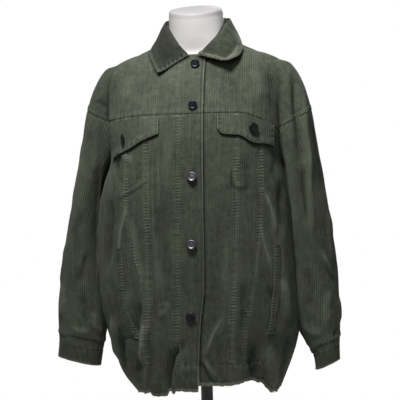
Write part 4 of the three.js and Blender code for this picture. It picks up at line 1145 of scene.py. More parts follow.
def yoke_half(hand, face, rows):
    half = HALVES[hand, face]
    last = half.limits(DROP[hand])[1] - GAP
    first = np.min(first_around(hand, face, np.linspace(YOKE, 700, 9)))
    grain = cord_columns(first, last)
    low = under_yoke(hand, face, grain) + GAP
    top = np.maximum(yoke_top(hand, face, grain), low)
    within = lambda up: np.clip(
        grain + 0 * up, first_around(hand, face, up), half.limits(up)[1] - GAP
    )
    fine = mix(low, top, np.linspace(0, 1, 181)[:, None])
    steps = np.linalg.norm(np.diff(half.at(within(fine), fine), axis=0), axis=-1)
    length = np.vstack([0 * steps[:1], np.cumsum(steps, 0)])
    share = np.linspace(0, 1, rows + 1)
    up = np.stack(
        [np.interp(share * length[-1, j], length[:, j], fine[:, j]) for j in range(len(grain))], 1
    )
    arc = within(up)
    from_low, from_top = share[:, None] * length[-1], (1 - share[:, None]) * length[-1]
    valley, total = half.limits(up)
    relief, wear, level = beside_seam(from_low, arc, 901 + hand + 4 * face, 1, 0.5)
    at_top, worn_top, _ = beside_seam(from_top, up, 941 + hand, 0, 0.35)
    relief, wear, upright = relief + at_top * 0.7, wear + worn_top * 0.6, 0
    if face == FRONT and hand == RIGHT:
        off = arc - facing_line(up)
        pushed, worn, rung = beside_seam(-off, up, 555, 1, 0.32, 10)
        relief, wear = relief + pushed * 0.4, wear + worn * 0.5
        upright = 0.2 * rung * (off < 1.5)
        relief, wear = lapping_edge(relief, wear, arc - first_around(hand, face, up))
    on_cap = ease((arc - valley + 3) / 4)
    cords = 0.26 * cords_on(grain + 0 * up, arc) * (1 - on_cap)
    slanted = (arc - valley) * math.cos(CAP_SLANT) - (up - YOKE) * math.sin(CAP_SLANT)
    across = np.where(on_cap > 0.5, valley.mean() + slanted, arc)
    points = on_cloth(hand, face, arc, up, relief + cords)
    around = face * (total - arc)
    # painted shade: the right cap is darker all over
    cap_wear_and_shade = fold_wear_and_shade(sleeve_folds(hand, around, up)) - (0.42 if hand == RIGHT else 0)
    wear = wear + mix(pale_and_dark_marks(hand, face, arc, up), cap_wear_and_shade, on_cap)
    # painted shade in the crease where the front yoke turns onto the sleeve
    painted_crease_shade = bell(arc - valley, 5, 2) * ease((670 - up) / 40)
    wear = wear - 0.4 * painted_crease_shade * (face == FRONT)
    return marked(points, across, up, wear, 0, upright, 0.5 * level)


front_yoke = lambda hand: as_seen(hand, FRONT, yoke_half(hand, FRONT, 52))
make_pair("front_yoke", front_yoke, (0.36, 0.2), (0.0425, 0.0436), "form_torso")
grids = both_hands(lambda hand: yoke_half(hand, BACK, 38))
make("cloth_back_yoke", grids, (0.62, 0.22), 0.0836, ["form_torso"], held="draped")
print("front yokes", [round(value, 3) for value in SHEETS[-2][0].dimensions])

# %% Hem bands
RAW_STRIP = 7.0  # the frayed strip along every raw edge


def ragged_hem(hand, face, arc):
    """The hem's edge with the small nicks of cloth that was cut and left raw."""
    arc = np.asarray(arc, float)
    nicks = 1.3 * unevenness(arc, 0 * arc, 7, 1, 301 + face) + 0.8 * unevenness(arc, 0 * arc, 2.6, 1, 303)
    return hem_edge(hand, face, arc) + nicks


def hem_band(hand, face, rows):
    half = HALVES[hand, face]
    low = lambda arc: ragged_hem(hand, face, arc)
    high = lambda arc: band_seam(arc) - GAP
    left, right = upright_seam(hand, face, 0), lambda up: half.limits(up)[0] - GAP
    grain, arc, up = panel_grid(left, right, low, high, rows)
    relief, wear, level = beside_seam(high(arc) - up, arc, 921 + hand + 4 * face, 0, 0.5)
    from_hem = up - low(arc)
    raw = 0.8 * (1 - ease((from_hem - RAW_STRIP + 2) / 2.5))
    relief = relief - 0.5 * (1 - ease((from_hem - RAW_STRIP) / 2)) + 0.5 * raw * np.sin(arc * 1.9)
    wear = wear - 0.45 * bell(from_hem - RAW_STRIP, 1.3, 1.5)
    if face == FRONT and hand == RIGHT:
        edge = arc - left(up)
        # the pale front edge, partly wear and partly a painted highlight
        wear = wear + EDGE_LIGHT * bell(edge, 1.7)
        off = arc - facing_line(up)
        wear = wear - 0.4 * bell(off, 0.9)
    relief = relief + cords_on(grain, arc)
    wear = wear + pale_and_dark_marks(hand, face, arc, up)
    return marked(on_cloth(hand, face, arc, up, relief), arc, up, wear, raw, 0, 0.4 * level)


front_band = lambda hand: as_seen(hand, FRONT, hem_band(hand, FRONT, 22))
make_pair("hem_band_front", front_band, (0.33, 0.08), (0.0148, 0.016), "cloth_front_centre_{}")
grids = both_hands(lambda hand: hem_band(hand, BACK, 16))
make("cloth_hem_band_back", grids, (0.52, 0.07), 0.0274, ["cloth_back_centre"])
print("hem bands made")

# %% [markdown]
# ## Sleeves and cuffs
# A sleeve is one piece of cloth that is rolled up and seamed under the arm. It lies on its own
# tube, with the armhole's seam as its upper edge. Over each cuff a tuck takes up its fullness: the
# cloth steps out along it like a small shelf.

# %% Sleeves
TUCK = {
    RIGHT: [(-200, 116), (-139, 116), (-106, 122), (-60, 122), (-24, 117), (60, 119), (200, 117)],
    LEFT: [(-200, 84), (-133, 87), (-100, 97), (-70, 104), (-30, 104), (60, 106), (200, 98)],
}


def half_round(hand, around, up):
    """From the outer side of the sleeve to its seam or the armhole, at a height."""
    rounds = []
    for face in (FRONT, BACK):
        half = HALVES[hand, face]
        rounds.append(half.limits(up)[1] - half.sleeve_start(up) - SEAM)
    return np.where(around < 0, *rounds)


def arm_sides(hand):
    """Where a sleeve's cloth begins and ends, as functions of the height."""
    return [
        lambda up, side=side: side * half_round(hand, np.full(np.shape(up), float(side)), up)
        for side in (-1, 1)
    ]


def armhole(hand, around):
    face = np.where(around < 0, FRONT, BACK)
    up = np.full(np.shape(around), float(DROP[hand]))
    for _ in range(5):
        share = 1 - np.abs(around) / half_round(hand, around, up)
        front, back = (sleeve_top(hand, side, share) for side in (FRONT, BACK))
        up = np.where(face == FRONT, front, back)
    return up - GAP


PRESSED = 4.0  # how far the sleeve's inner border is pressed towards the body
SLEEVE_LINES = {  # like PALE_AND_SHADED_LINES: pale lines partly painted highlights, dark ones painted shade in creases and beside the body
    RIGHT: [
        ([(-104, 520), (-122, 460), (-138, 400), (-146, 330)], 0.35, 2.6),
        ([(-126, 430), (-150, 380), (-160, 300)], -0.5, 3.0),
        ([(-44, 232), (-50, 190), (-40, 150)], 0.3, 2.2),
        ([(-92, 580), (-98, 540), (-106, 490), (-116, 440)], -0.5, 9.0),
    ],
    LEFT: [
        ([(-70, 284), (-62, 268), (-54, 252)], 0.95, 2.0),
        ([(-92, 470), (-98, 420), (-101, 350)], -0.6, 2.2),
        ([(-66, 520), (-76, 460), (-84, 400)], 0.3, 2.4),
        ([(-78, 560), (-84, 530), (-92, 480)], -0.35, 6.0),
        ([(-64, 244), (-48, 226), (-34, 206)], 0.35, 2.2),
    ],
}


def sleeve_grids(hand, rows):
    low = lambda around: np.full(np.shape(around), CUFF[hand][0] + GAP)
    high = lambda around: armhole(hand, around)
    grain, around, up = panel_grid(*arm_sides(hand), low, high, rows)
    relief, wear, level = beside_seam(high(around) - up, around, 961 + hand, -1, 0.45)
    at_cuff, worn, rung = beside_seam(up - low(around), around, 971 + hand, -1, 0.45)
    relief, wear, level = relief + at_cuff, wear + worn, np.maximum(level, rung)
    off = up - curve(TUCK[hand], around)[0]
    shelf = np.where(off > 0, 1 - ease(off / 15), ease(1 + off / 2.2))
    ripple = np.sin(2 * math.pi * around / 9.5 + 3 * unevenness(around, up * 0, 30, 1, 77))
    relief = relief + shelf * (2.0 + 0.5 * ripple)
    # the shelf's top is pale, partly wear and partly a painted highlight, and a painted shadow lies just
    # below it
    wear = wear + 0.4 * shelf * bell(off, 5) * (0.6 + 0.4 * ripple)
    wear = wear - 0.7 * bell(off, 1.4, -2.6)
    relief = relief + cords_on(grain, around)
    wear = wear + fold_wear_and_shade(sleeve_folds(hand, around, up))
    for line, strength, width in SLEEVE_LINES[hand]:
        wear = wear + stroke(around, up, line, strength, width, width)
    points = on_arm(hand, around, up, relief)
    inner = np.abs(around) / half_round(hand, around, up)  # 1 where the sleeve lies on the body
    points[..., 0] -= hand * PRESSED * ease((inner - 0.9) / 0.1) * ease((up - 120) / 30)
    return marked(points, around, up, wear, 0, 0, level)


def turned_round(hand, grids):
    return grids if hand == LEFT else [grid[:, ::-1] for grid in grids]


sleeve = lambda hand: turned_round(hand, sleeve_grids(hand, 97))
make_pair("sleeve", sleeve, (0.47, 0.5), (0.15, 0.148), "cloth_front_yoke_{}")
print("sleeve", [round(value, 3) for value in SHEETS[-1][0].dimensions])


# %% Cuffs
def cuff_grids(hand, rows):
    top, bottom = CUFF[hand]
    low = lambda around: bottom + 1.2 * unevenness(around, 0 * around, 19, 1, 88 + hand)
    high = lambda around: np.full(np.shape(around), top - GAP)
    grain, around, up = panel_grid(*arm_sides(hand), low, high, rows)
    relief, wear, level = beside_seam(high(around) - up, around, 971 + hand, 0, 0.4)
    from_edge = up - low(around)
    # painted shadow under the sleeve's edge, along the cuff's top
    wear = wear - 0.7 * bell(high(around) - up, 1.6)
    at_edge, worn, rung = beside_seam(np.abs(from_edge - 6), around, 981 + hand, 0, 0.45)
    raw = 0.8 * (1 - ease((from_edge - 2.5) / 2.5))
    relief = relief + at_edge * 0.8 + cords_on(grain, around)
    level = np.maximum(level, rung)
    return marked(on_arm(hand, around, up, relief), around, up, wear + worn * 0.8, raw, 0, 0.35 * level)


cuff = lambda hand: turned_round(hand, cuff_grids(hand, 14))
make_pair("cuff", cuff, (0.33, 0.038), (0.0082, 0.0065), "cloth_sleeve_{}", thick=DOUBLED)
print("cuffs", [round(value, 3) for value in SHEETS[-1][0].dimensions])

# %% [markdown]
# ## Pocket flaps and hand pocket welts
# A flap is two layers of cloth, sewn down under the yoke and shaped to a blunt point. It lies off
# the front by its own thickness, which gives the deep shadow along its lower edge. A welt is a
# narrow strip over the opening of a hand pocket, held by a bar tack at each end.

# %% Flaps
PATCH_GAP = 0.9


def flap_grids(hand):
    rows = FLAPS[hand]
    first, last = rows[0][0], rows[-1][0]
    grain = cord_columns(first, last)
    top, bottom = curve(rows, grain)
    up = mix(bottom, top, np.linspace(0, 1, 27)[:, None])
    arc = grain + 0 * up
    from_edge = np.minimum(up - bottom, np.minimum(arc - first, last - arc))
    along = np.where(from_edge == up - bottom, arc, up)
    relief, wear, rungs = beside_seam(np.abs(from_edge - 6), along, 611 + hand, 0, 0.5, 5)
    below = from_edge == up - bottom
    edge = bell(from_edge, 1.6)
    curl = 1.3 * ease(1 - (up - bottom) / 16)
    wear = wear * 0.9 + 0.1 + 0.45 * edge - 0.5 * bell(from_edge, 0.9, 3.4)
    relief = relief - 0.8 * edge + curl + CORD_HEIGHT * (cord(grain) - 1)
    pressed = 0.8 * bell(np.hypot(arc - FLAP_BUTTON[hand][0], up - FLAP_BUTTON[hand][1]), 15)
    off = DOUBLED + PATCH_GAP + relief - pressed
    points = on_cloth(hand, FRONT, arc, up, off)
    return marked(points, arc, up, wear, 0.25 * edge, 0.4 * rungs * ~below, 0.6 * rungs * below)


flap = lambda hand: as_seen(hand, FRONT, flap_grids(hand))
make_pair("pocket_flap", flap, (0.126, 0.08), (0.0063, 0.0052), "cloth_front_yoke_{}", thick=DOUBLED)
print("flaps", [round(value, 3) for value in SHEETS[-1][0].dimensions])

# %% Welts
WELTS = {  # up, inner and outer side
    RIGHT: [(126, 124, 138), (192, 148, 163), (245, 152, 168), (306, 152, 168)],
    LEFT: [(131, 150, 166), (185, 160, 174), (235, 163, 176), (306, 167, 180)],
}


def welt_grids(hand):
    bottom, top = WELTS[hand][0][0], WELTS[hand][-1][0]
    up = np.linspace(bottom, top, 61)[:, None] + np.zeros((1, 13))
    inner, outer = curve(WELTS[hand], up)
    share = np.linspace(0, 1, 13)
    arc = mix(inner, outer, share)
    ends = np.minimum(up - bottom, top - up)
    edge = bell(np.minimum(arc - inner, outer - arc), 1.5)
    relief, wear, rungs = beside_seam(arc - inner - 4, up, 651 + hand, 0, 0.35, 5)
    tacked = bell(ends, 2.5, 5)
    off = CLOTH + PATCH_GAP + relief * 0.7 - 0.6 * edge - 0.7 * tacked
    wear = wear * 0.6 + 0.4 * edge - 0.3 * tacked
    return marked(on_cloth(hand, FRONT, arc, up, off), up, arc, wear, 0, 0, rungs)


welt = lambda hand: as_seen(hand, FRONT, welt_grids(hand))
make_pair("pocket_welt", welt, (0.016, 0.19), (0.0028, 0.0024), "cloth_front_side_{}")
print("welts made")

# %% [markdown]
# ## Collar
# A shirt collar has a band that stands round the neck and a leaf that folds over it. The leaf's
# lower edge is gathered up by its two rows of stitches into small even lumps. Both parts are swept
# between two curves in space, because nothing else holds a collar's shape: the fold and the edge.

# %% The collar's curves
CREST_SHIFT = {  # how far the fold lies towards the left, at a height
    LEFT: [(691, 2.5), (698, 5.5), (706, 9.5), (714, 12), (722, 11), (731, 8.5), (745, 4.5), (760, 0)],
    RIGHT: [(691, -0.5), (698, -2.5), (706, -6.5), (714, -8.5), (722, -6), (731, -2.5), (740, -1), (756, 0)],
}
NECKLINE_START = 0.16


def round_the_neck(rows, hand, w):
    """Points at w, from 0 at the left front over 0.5 at the back to 1 at the right front."""
    x, y, up = rows[-2]
    rows = [(i / 6, *row) for i, row in enumerate([*rows, (-x, y, up)])]
    x, y, up = curve(rows, 1 - np.abs(1 - 2 * w))
    return np.stack([hand * x, y, HEM + up], -1)


def crest_at(w):
    points = round_the_neck(CREST, np.where(w < 0.5, LEFT, RIGHT), w)
    left, right = (np.interp(points[..., 2] - HEM, *zip(*CREST_SHIFT[hand])) for hand in (LEFT, RIGHT))
    points[..., 0] += np.where(w < 0.5, left, right)
    return points


def leaf_edge_at(w):
    left, right = (round_the_neck(LEAF_EDGE[hand], hand, w) for hand in (LEFT, RIGHT))
    return np.where((w < 0.5)[..., None], left, right)


def from_neck(points):
    return unit(points * (1, 1, 0))


def neckline_at(w):
    """The seam that joins the collar to the yokes."""
    points = np.zeros((*w.shape, 3))
    for hand in (LEFT, RIGHT):
        for face in (FRONT, BACK):
            around, up = neckline(hand, face)
            round_share = 1 - np.abs(1 - 2 * w)
            u = np.where(round_share < 0.5, mix(NECKLINE_START, 1, 2 * round_share), 2 - 2 * round_share)
            place = np.linspace(0, 1, len(up))
            mine = ((w < 0.5) == (hand == LEFT)) & ((round_share < 0.5) == (face == FRONT))
            arc, height = np.interp(u, place, around), np.interp(u, place, up)
            points[mine] = lapped(hand, face, HALVES[hand, face].at(arc, height))[mine]
    return points


print("the fold's highest point", crest_at(np.array([0.5]))[0].round(1))

# %% The collar's two parts
COLLAR_ROUND = 420.0  # its length along the seam
LEAF_LONGER = 1.15  # the leaf's length, as a share of the seam's
LEAF_ROLL = 2.8  # how far the left leaf bulges along its edges


def normals_of(points):
    along, rise = np.gradient(points, axis=1), np.gradient(points, axis=0)
    return unit(np.cross(along, rise))


def collar_stand_grids():
    w = np.linspace(0, 1, 181)[None, :] + np.zeros((19, 1))
    v = np.linspace(1, 0, 19)[:, None] + 0 * w
    top, foot = crest_at(w), neckline_at(w)
    top = top - from_neck(top) * 2.5
    foot = foot + (0, 0, 1.2)
    points = top + (foot - top) * v[..., None]
    along, up = w * COLLAR_ROUND, (1 - v) * 45
    relief, wear, rungs = beside_seam(up, along, 711, 1, 0.35, 5)
    points = points + normals_of(points) * (relief * 0.5)[..., None]
    return marked(points, along, up, wear * 0.5, 0, 0, rungs * 0.5)


def collar_leaf_grids():
    w = np.linspace(0, 1, 361)[None, :] + np.zeros((45, 1))
    v = np.linspace(1, 0, 45)[:, None] + 0 * w
    top, edge = crest_at(w), leaf_edge_at(w)
    top = top + from_neck(top) * DOUBLED + (0, 0, 2)
    width = np.linalg.norm(edge - top, axis=-1)
    points = top + (edge - top) * v[..., None]
    points = points + from_neck(edge) * (16 * v * (1 - v))[..., None]
    front_edge_share = bell(np.minimum(w, 1 - w), 0.07)
    points[..., 2] -= mix(16, 11, w) * v * (1 - v) * front_edge_share
    along, from_edge = w * COLLAR_ROUND * LEAF_LONGER, (1 - v) * width
    ends = np.minimum(w, 1 - w) * COLLAR_ROUND * LEAF_LONGER
    near = np.minimum(from_edge, ends)
    seam_run = np.where(ends < from_edge, from_edge, along)
    relief, wear, rungs = beside_seam(np.abs(near - 7), seam_run, 731, 0, 0.9, 5.5)
    at_end = ends < from_edge
    wander = 2.6 * unevenness(seam_run, 0 * along, 21, 1, 733) - 0.2 * near
    lumps = bell(near, 4.4, 4.2) * np.sin(2 * math.pi * seam_run / 10.2 + wander)
    swell = 0.7 + 0.5 * unevenness(seam_run, 0 * along, 33, 1, 735)
    lumps = lumps * swell * (0.14 + mix(0.86, 0.5, w < 0.5) * at_end)
    dents = 0.8 * unevenness(along, from_edge, 26, 17, 741)
    hollow = -1.6 * bell(from_edge, 11, 22) * ease(1 - ends / 90)
    on_left = np.where(w < 0.5, ease(1 - w / 0.3), 0)
    hollow = hollow + on_left * LEAF_ROLL * (bell(near, 6, 5) - bell(near, 8, 19))
    rolled = 1.2 * bell(near, 3)
    off = relief * 0.7 + 1.8 * lumps + dents + hollow - rolled
    from_fold = v * width
    # The pale lumps and edge are partly wear and partly painted highlight, and the pale fold is a painted
    # highlight. The dark band inside the edge and the darker inner part of the right leaf are painted shade.
    wear = 0.7 * wear + 0.8 * lumps + 0.3 * bell(near, 2.6) + 0.4 * bell(from_fold, 5)
    wear = wear - 0.35 * bell(near, 3, 11) * (1 - on_left)
    wear = wear - (w > 0.5) * (0.3 * ease(near / 12) + 0.55 * ease(near / 30))
    scuffs = 1 + unevenness(along, from_edge, 5, 3, 751)
    band = ease((mix(8, 21, v) - near) / 5 + 0.5)  # the rolled border of the left leaf: scuffed pale and painted highlight, with painted shade above it
    wear = wear + on_left * (0.85 * scuffs * band - 0.28 * (1 - band))
    # painted light along the right leaf's edge
    wear = wear + 0.3 * (w > 0.5) * bell(from_edge, 12)
    points = points + normals_of(points) * off[..., None]
    raw = 0.5 * bell(near, 2.4)
    return marked(points, along, from_edge, wear, raw, 0.3 * rungs * at_end, 0.5 * rungs * ~at_end)


make("cloth_collar_stand", collar_stand_grids(), (0.42, 0.06), 0.0149, ["cloth_front_yoke_left"])
make("cloth_collar_leaf", collar_leaf_grids(), (0.5, 0.08), 0.0284, ["cloth_collar_stand"], thick=DOUBLED)
print(len(SHEETS), "pieces of cloth")

# %% [markdown]
# ## Materials
# Corduroy looks dark in its grooves and pale where its pile stands up or is worn off: on seams,
# puckers and edges. Each cord was brushed a little differently, so fine streaks run along it. All
# of this follows the cloth, so the material reads the piece's own map, whose units are metres of
# cloth. Worn and raw places come from the two attributes that every woven piece carries; the worn
# one also carries painted shade and painted highlights, and the cloth is painted darker towards
# the bottom.

# %% Shader maths
class Shade:
    """A number in a material. Sums and products of these add the Math nodes that work them out."""

    def __init__(self, look, socket):
        self.look, self.socket = look, socket

    def _math(self, operation, *values):
        return self.look.add("ShaderNodeMath", {"operation": operation}, values).out("Value")

    def __add__(self, other):
        return self._math("ADD", self, other)

    def __sub__(self, other):
        return self._math("SUBTRACT", self, other)

    def __rsub__(self, other):
        return self._math("SUBTRACT", other, self)

    def __mul__(self, other):
        return self._math("MULTIPLY", self, other)

    def __truediv__(self, other):
        return self._math("DIVIDE", self, other)

    __radd__, __rmul__ = __add__, __mul__

    def clamped(self):
        return self._math("MINIMUM", self._math("MAXIMUM", self, 0.0), 1.0)

    def sine(self):
        return self._math("SINE", self)

    def whole(self):
        return self._math("FLOOR", self)

    def size(self):
        return self._math("ABSOLUTE", self)


class Made:
    """A node that was just added, and its outputs by name."""

    def __init__(self, look, node):
        self.look, self.node = look, node

    def out(self, name):
        return Shade(self.look, self.node.outputs[name])


class Look:
    """A material and the one way in which its nodes are made."""

    def __init__(self, name):
        self.material = bpy.data.materials.new(name)
        self.material.use_nodes = True
        self.tree = self.material.node_tree
        self.shader = self.tree.nodes["Principled BSDF"]

    def add(self, kind, settings=None, values=()):
        node = self.tree.nodes.new(kind)
        for name, value in (settings or {}).items():
            setattr(node, name, value)
        pairs = values.items() if isinstance(values, dict) else enumerate(values)
        for key, value in pairs:
            self.join(node.inputs[key], value)
        return Made(self, node)

    def join(self, socket, value):
        if isinstance(value, Shade):
            self.tree.links.new(value.socket, socket)
        else:
            socket.default_value = value

    def finish(self, **values):
        for name, value in values.items():
            self.join(self.shader.inputs[name.replace("_", " ")], value)

    def mixed(self, share, a, b, blend="MIX"):
        """Colours a and b mixed."""
        settings = {"data_type": "RGBA", "blend_type": blend}
        made = self.add("ShaderNodeMix", settings, {0: share, 6: a, 7: b})
        return Shade(self, made.node.outputs[2])

    def noise(self, place, scale, detail=2.0, roughness=0.5):
        values = {"Vector": place, "Scale": scale, "Detail": detail, "Roughness": roughness}
        return self.add("ShaderNodeTexNoise", {}, values).out("Fac")

    def attribute(self, name):
        return self.add("ShaderNodeAttribute", {"attribute_name": name}).out("Fac")

    def vector(self, x, y, z=0.0):
        return self.add("ShaderNodeCombineXYZ", {}, (x, y, z)).out("Vector")

    def here(self):
        return self.add("ShaderNodeTexCoord").out("Object")

    def parts(self, place, axes):
        made = self.add("ShaderNodeSeparateXYZ", {}, (place,))
        return [made.out(axis) for axis in axes]

    def on_weave(self):
        """The two places of the piece's own map, in metres of cloth."""
        return self.parts(self.add("ShaderNodeUVMap", {"uv_map": "UVMap"}).out("UV"), "XY")

    def bump(self, height, strength, distance):
        values = {"Height": height, "Strength": strength, "Distance": distance}
        return self.add("ShaderNodeBump", {}, values).out("Normal")


def rgb(r, g, b):
    return (r, g, b, 1.0)


print("shader maths ready")


# %% Corduroy, right side
RUNGS = 2 * math.pi / 0.0061  # the fine puckers that stitches draw up are 6.1 mm apart
GROOVE, PILE = (0.026, 0.0295, 0.02), (0.09, 0.1, 0.07)
WORN, RAW = (0.185, 0.2, 0.15), (0.16, 0.17, 0.125)


def corduroy(name, cords_bump, cords_shade, painted_piece_tone, painted_bottom_shade=1.0):
    look = Look(name)
    scaled = lambda colour: rgb(*(channel * painted_piece_tone for channel in colour))
    u, v = look.on_weave()
    object_place = look.here()
    cords = u / (WALE * MM)
    which = cords.whole()
    wave = (cords * math.pi).sine().size()  # 0 in a groove, 1 on a cord
    streak = look.noise(look.vector(which * 3.71, v * 17.0), 1.0, 2.0)
    brushed = look.noise(look.vector(u * 900.0, v * 110.0), 1.0, 3.0, 0.6)
    mottle = look.noise(object_place, 13.0, 4.0, 0.6)
    pale_and_dark_marks = look.noise(object_place, 75.0, 3.0, 0.6)
    tint = look.noise(object_place, 21.0, 2.0, 0.5)
    nap = look.noise(object_place, 1500.0, 1.0)
    blotches = look.noise(object_place, 170.0, 2.0, 0.6)
    lint = ((look.noise(object_place, 430.0, 1.0) - 0.7) * 9.0).clamped()
    patchy = (look.noise(object_place, 7.0, 2.0) * 3.0 - 0.9).clamped() * 0.75 + 0.25
    strands = wave * patchy * cords_shade + (streak - 0.5) * 0.6 + (brushed - 0.5) * 0.6
    light = strands + (pale_and_dark_marks - 0.5) * 0.9 + (mottle - 0.5) * 0.8
    light = (light + (blotches - 0.5) * 0.6 + 0.26).clamped()
    colour = look.mixed(light, scaled(GROOVE), scaled(PILE))
    cool = (0.75, 0.98, 0.98)
    colour = look.mixed(((tint - 0.42) * 2.4).clamped() * 0.4, colour, rgb(*cool), "MULTIPLY")
    wear, raw = look.attribute("wear"), look.attribute("raw")
    wander = look.noise(look.vector(u * 60.0, v * 60.0), 1.0, 1.0) * 7.0
    upright_rungs = (v * RUNGS + wander).sine() * look.attribute("upright")
    rungs = upright_rungs + (u * RUNGS + wander).sine() * look.attribute("level")
    wear = wear + rungs * 0.28
    colour = look.mixed((wear * (0.6 + brushed * 0.5)).clamped() * 0.85, colour, scaled(WORN))
    shadow = (wear * -1.0).clamped()
    colour = look.mixed(shadow * 0.8, colour, scaled([channel * 0.3 for channel in GROOVE]))
    colour = look.mixed(lint * 0.3, colour, scaled(RAW))
    frayed = (raw * (0.45 + brushed * 0.9)).clamped()
    colour = look.mixed(frayed * 0.8, colour, scaled(RAW))
    height = wave * cords_bump + rungs * 0.5 + brushed * 0.25 + nap * 0.12
    [high] = look.parts(object_place, "Z")
    # painted shade: the cloth is darker towards the bottom, as less light reaches it
    painted_shade_by_height = ((high - (HEM + 370) * MM) * 5.2).clamped() * (1 - painted_bottom_shade) + painted_bottom_shade
    colour = look.mixed(1.0, colour, look.vector(painted_shade_by_height, painted_shade_by_height, painted_shade_by_height), "MULTIPLY")
    look.finish(
        Base_Color=colour,
        Roughness=0.86 - light * 0.08,
        Normal=look.bump(height, 0.85, 0.0011),
        Sheen_Weight=0.08,
        Sheen_Roughness=0.45,
        Sheen_Tint=rgb(0.75, 0.8, 0.7),
        Specular_IOR_Level=0.18,
    )
    return look.material


# The sleeves, cuffs and collar get the same corduroy made darker: painted shade for the less light on them.
right_side = corduroy("corduroy", 0.4, 0.36, 0.98, 0.76)
flat_side = corduroy("corduroy_collar", 0.2, 0.2, 0.68)
sleeve_side = corduroy("corduroy_sleeves", 0.6, 0.75, 0.86, 0.84)
cuff_side = corduroy("corduroy_cuffs", 0.4, 0.4, 0.58)
print("corduroy for body, sleeves, cuffs and collar")


# %% Corduroy, wrong side
YARN = 0.0009  # from one yarn to the next, in metres


def wrong_side(name):
    look = Look(name)
    u, v = look.on_weave()
    warp, weft = ((way * (2 * math.pi / YARN)).sine() for way in (u, v))
    weave_height = (warp * weft) * 0.5 + 0.5
    yarn = look.noise(look.vector(u * 700.0, v * 180.0), 1.0, 2.0)
    light = (weave_height * 0.5 + yarn * 0.5).clamped()
    look.finish(
        Base_Color=look.mixed(light, rgb(0.035, 0.04, 0.03), rgb(0.085, 0.094, 0.07)),
        Roughness=0.92,
        Normal=look.bump(weave_height, 0.4, 0.0004),
        Specular_IOR_Level=0.15,
    )
    return look.material


plain_side = wrong_side("corduroy_back")
print("plain weave for the wrong side")

# %% [markdown]
# ## Giving the cloth its thickness
# Cloth has two sides and an edge that shows wherever it ends. The grids so far have none, so each is
# thickened inwards with a Solidify modifier, and its inner side gets the plain weave.

# %% Both sides of every piece
FINISHES = {"collar": flat_side, "sleeve": sleeve_side, "cuff": cuff_side}
for piece, flat, area, rests_on, thick, held in SHEETS:
    finish = next((look for part, look in FINISHES.items() if part in piece.name), right_side)
    line_with_back(piece, thick, [finish, plain_side])

# %% [markdown]
# ## Buttons
# The closing has five shank buttons of dark metal and each flap has one more. Such a button is
# pressed from sheet: a rounded rim round a dished middle that rises a little, on a shank. It
# is turned work, so it is made as on a lathe: a circle is extruded and resized from ring to ring.

# %% Turned pieces
def turned(name, profile, segments):
    """Extrudes a circle through (radius, height) pairs in mm, and closes both ends."""
    bpy.ops.object.select_all(action="DESELECT")
    (radius, height), *others = profile
    bpy.ops.mesh.primitive_circle_add(
        vertices=segments, radius=radius * MM, fill_type="NGON", location=(0, 0, height * MM)
    )
    piece = bpy.context.object
    piece.name = piece.data.name = name
    select_only(piece)
    bpy.ops.object.transform_apply(location=True)
    bpy.ops.object.mode_set(mode="EDIT")
    bpy.ops.mesh.select_all(action="SELECT")
    for next_radius, next_height in others:
        rise, grow = (next_height - height) * MM, next_radius / radius
        bpy.ops.mesh.extrude_region_move(TRANSFORM_OT_translate={"value": (0, 0, rise)})
        bpy.ops.transform.resize(value=(grow, grow, 1), center_override=(0, 0, next_height * MM))
        radius, height = next_radius, next_height
    bpy.ops.mesh.select_all(action="SELECT")
    bpy.ops.mesh.normals_make_consistent(inside=False)
    bpy.ops.object.mode_set(mode="OBJECT")
    bpy.ops.object.shade_smooth_by_angle(angle=math.radians(50))
    return piece


BUTTON_TURNING = [
    (3.6, 0), (3.2, 0.6), (3.0, 2.0), (3.6, 2.5), (8.8, 2.6), (9.6, 2.9), (10.0, 3.5),
    (9.9, 4.2), (9.5, 4.8), (8.9, 5.25), (8.2, 5.45), (7.5, 5.4), (6.9, 5.15), (6.3, 4.85),
    (5.6, 4.75), (4.4, 4.8), (3.0, 4.88), (1.5, 4.95), (0.3, 4.96),
]
button_shape = turned("button_shape", BUTTON_TURNING, 56)
print("one button has", len(button_shape.data.polygons), "faces")


# %% Dark metal and the buttons in their places
def dark_metal(name, base, bright, roughness):
    look = Look(name)
    place = look.here()
    patina = look.noise(place, 170.0, 3.0, 0.5)
    scratch = look.noise(place, 2600.0, 2.0)
    colour = look.mixed((patina * 1.5 - 0.3).clamped(), base, bright)
    look.finish(
        Base_Color=colour, Roughness=roughness + patina * 0.16, Metallic=0.92,
        Normal=look.bump(scratch, 0.05, 0.0002),
    )
    return look.material


gunmetal = dark_metal("gunmetal", rgb(0.014, 0.014, 0.02), rgb(0.035, 0.035, 0.045), 0.3)
rubbed_metal = dark_metal("rubbed_metal", rgb(0.05, 0.05, 0.058), rgb(0.13, 0.13, 0.145), 0.26)
button_shape.data.materials.append(gunmetal)


def place_button(name, hand, arc, up, off, tip=0.0, size=1.0, aside=0.0):
    """tip and aside turn its face up and to the left, in degrees, as a loose shank may let it lie."""
    at = lambda a, u: on_cloth(hand, FRONT, np.array([float(a)]), np.array([float(u)]), folds=False)[0]
    point = on_cloth(hand, FRONT, np.array([float(arc)]), np.array([float(up)]))[0]
    normal = np.cross(at(arc + 4, up) - at(arc - 4, up), at(arc, up + 4) - at(arc, up - 4))
    normal *= hand / np.linalg.norm(normal)
    button = button_shape.copy()
    button.data = button_shape.data.copy()
    button.name = button.data.name = name
    bpy.context.collection.objects.link(button)
    turn = Vector((0, 0, 1)).rotation_difference(Vector(normal)).to_matrix().to_4x4()
    turn = Matrix.Rotation(math.radians(-tip), 4, "X") @ turn @ Matrix.Scale(size, 4)
    turn = Matrix.Rotation(math.radians(aside), 4, "Z") @ turn
    button.data.transform(Matrix.Translation(Vector((point + normal * off) * MM)) @ turn)
    return button


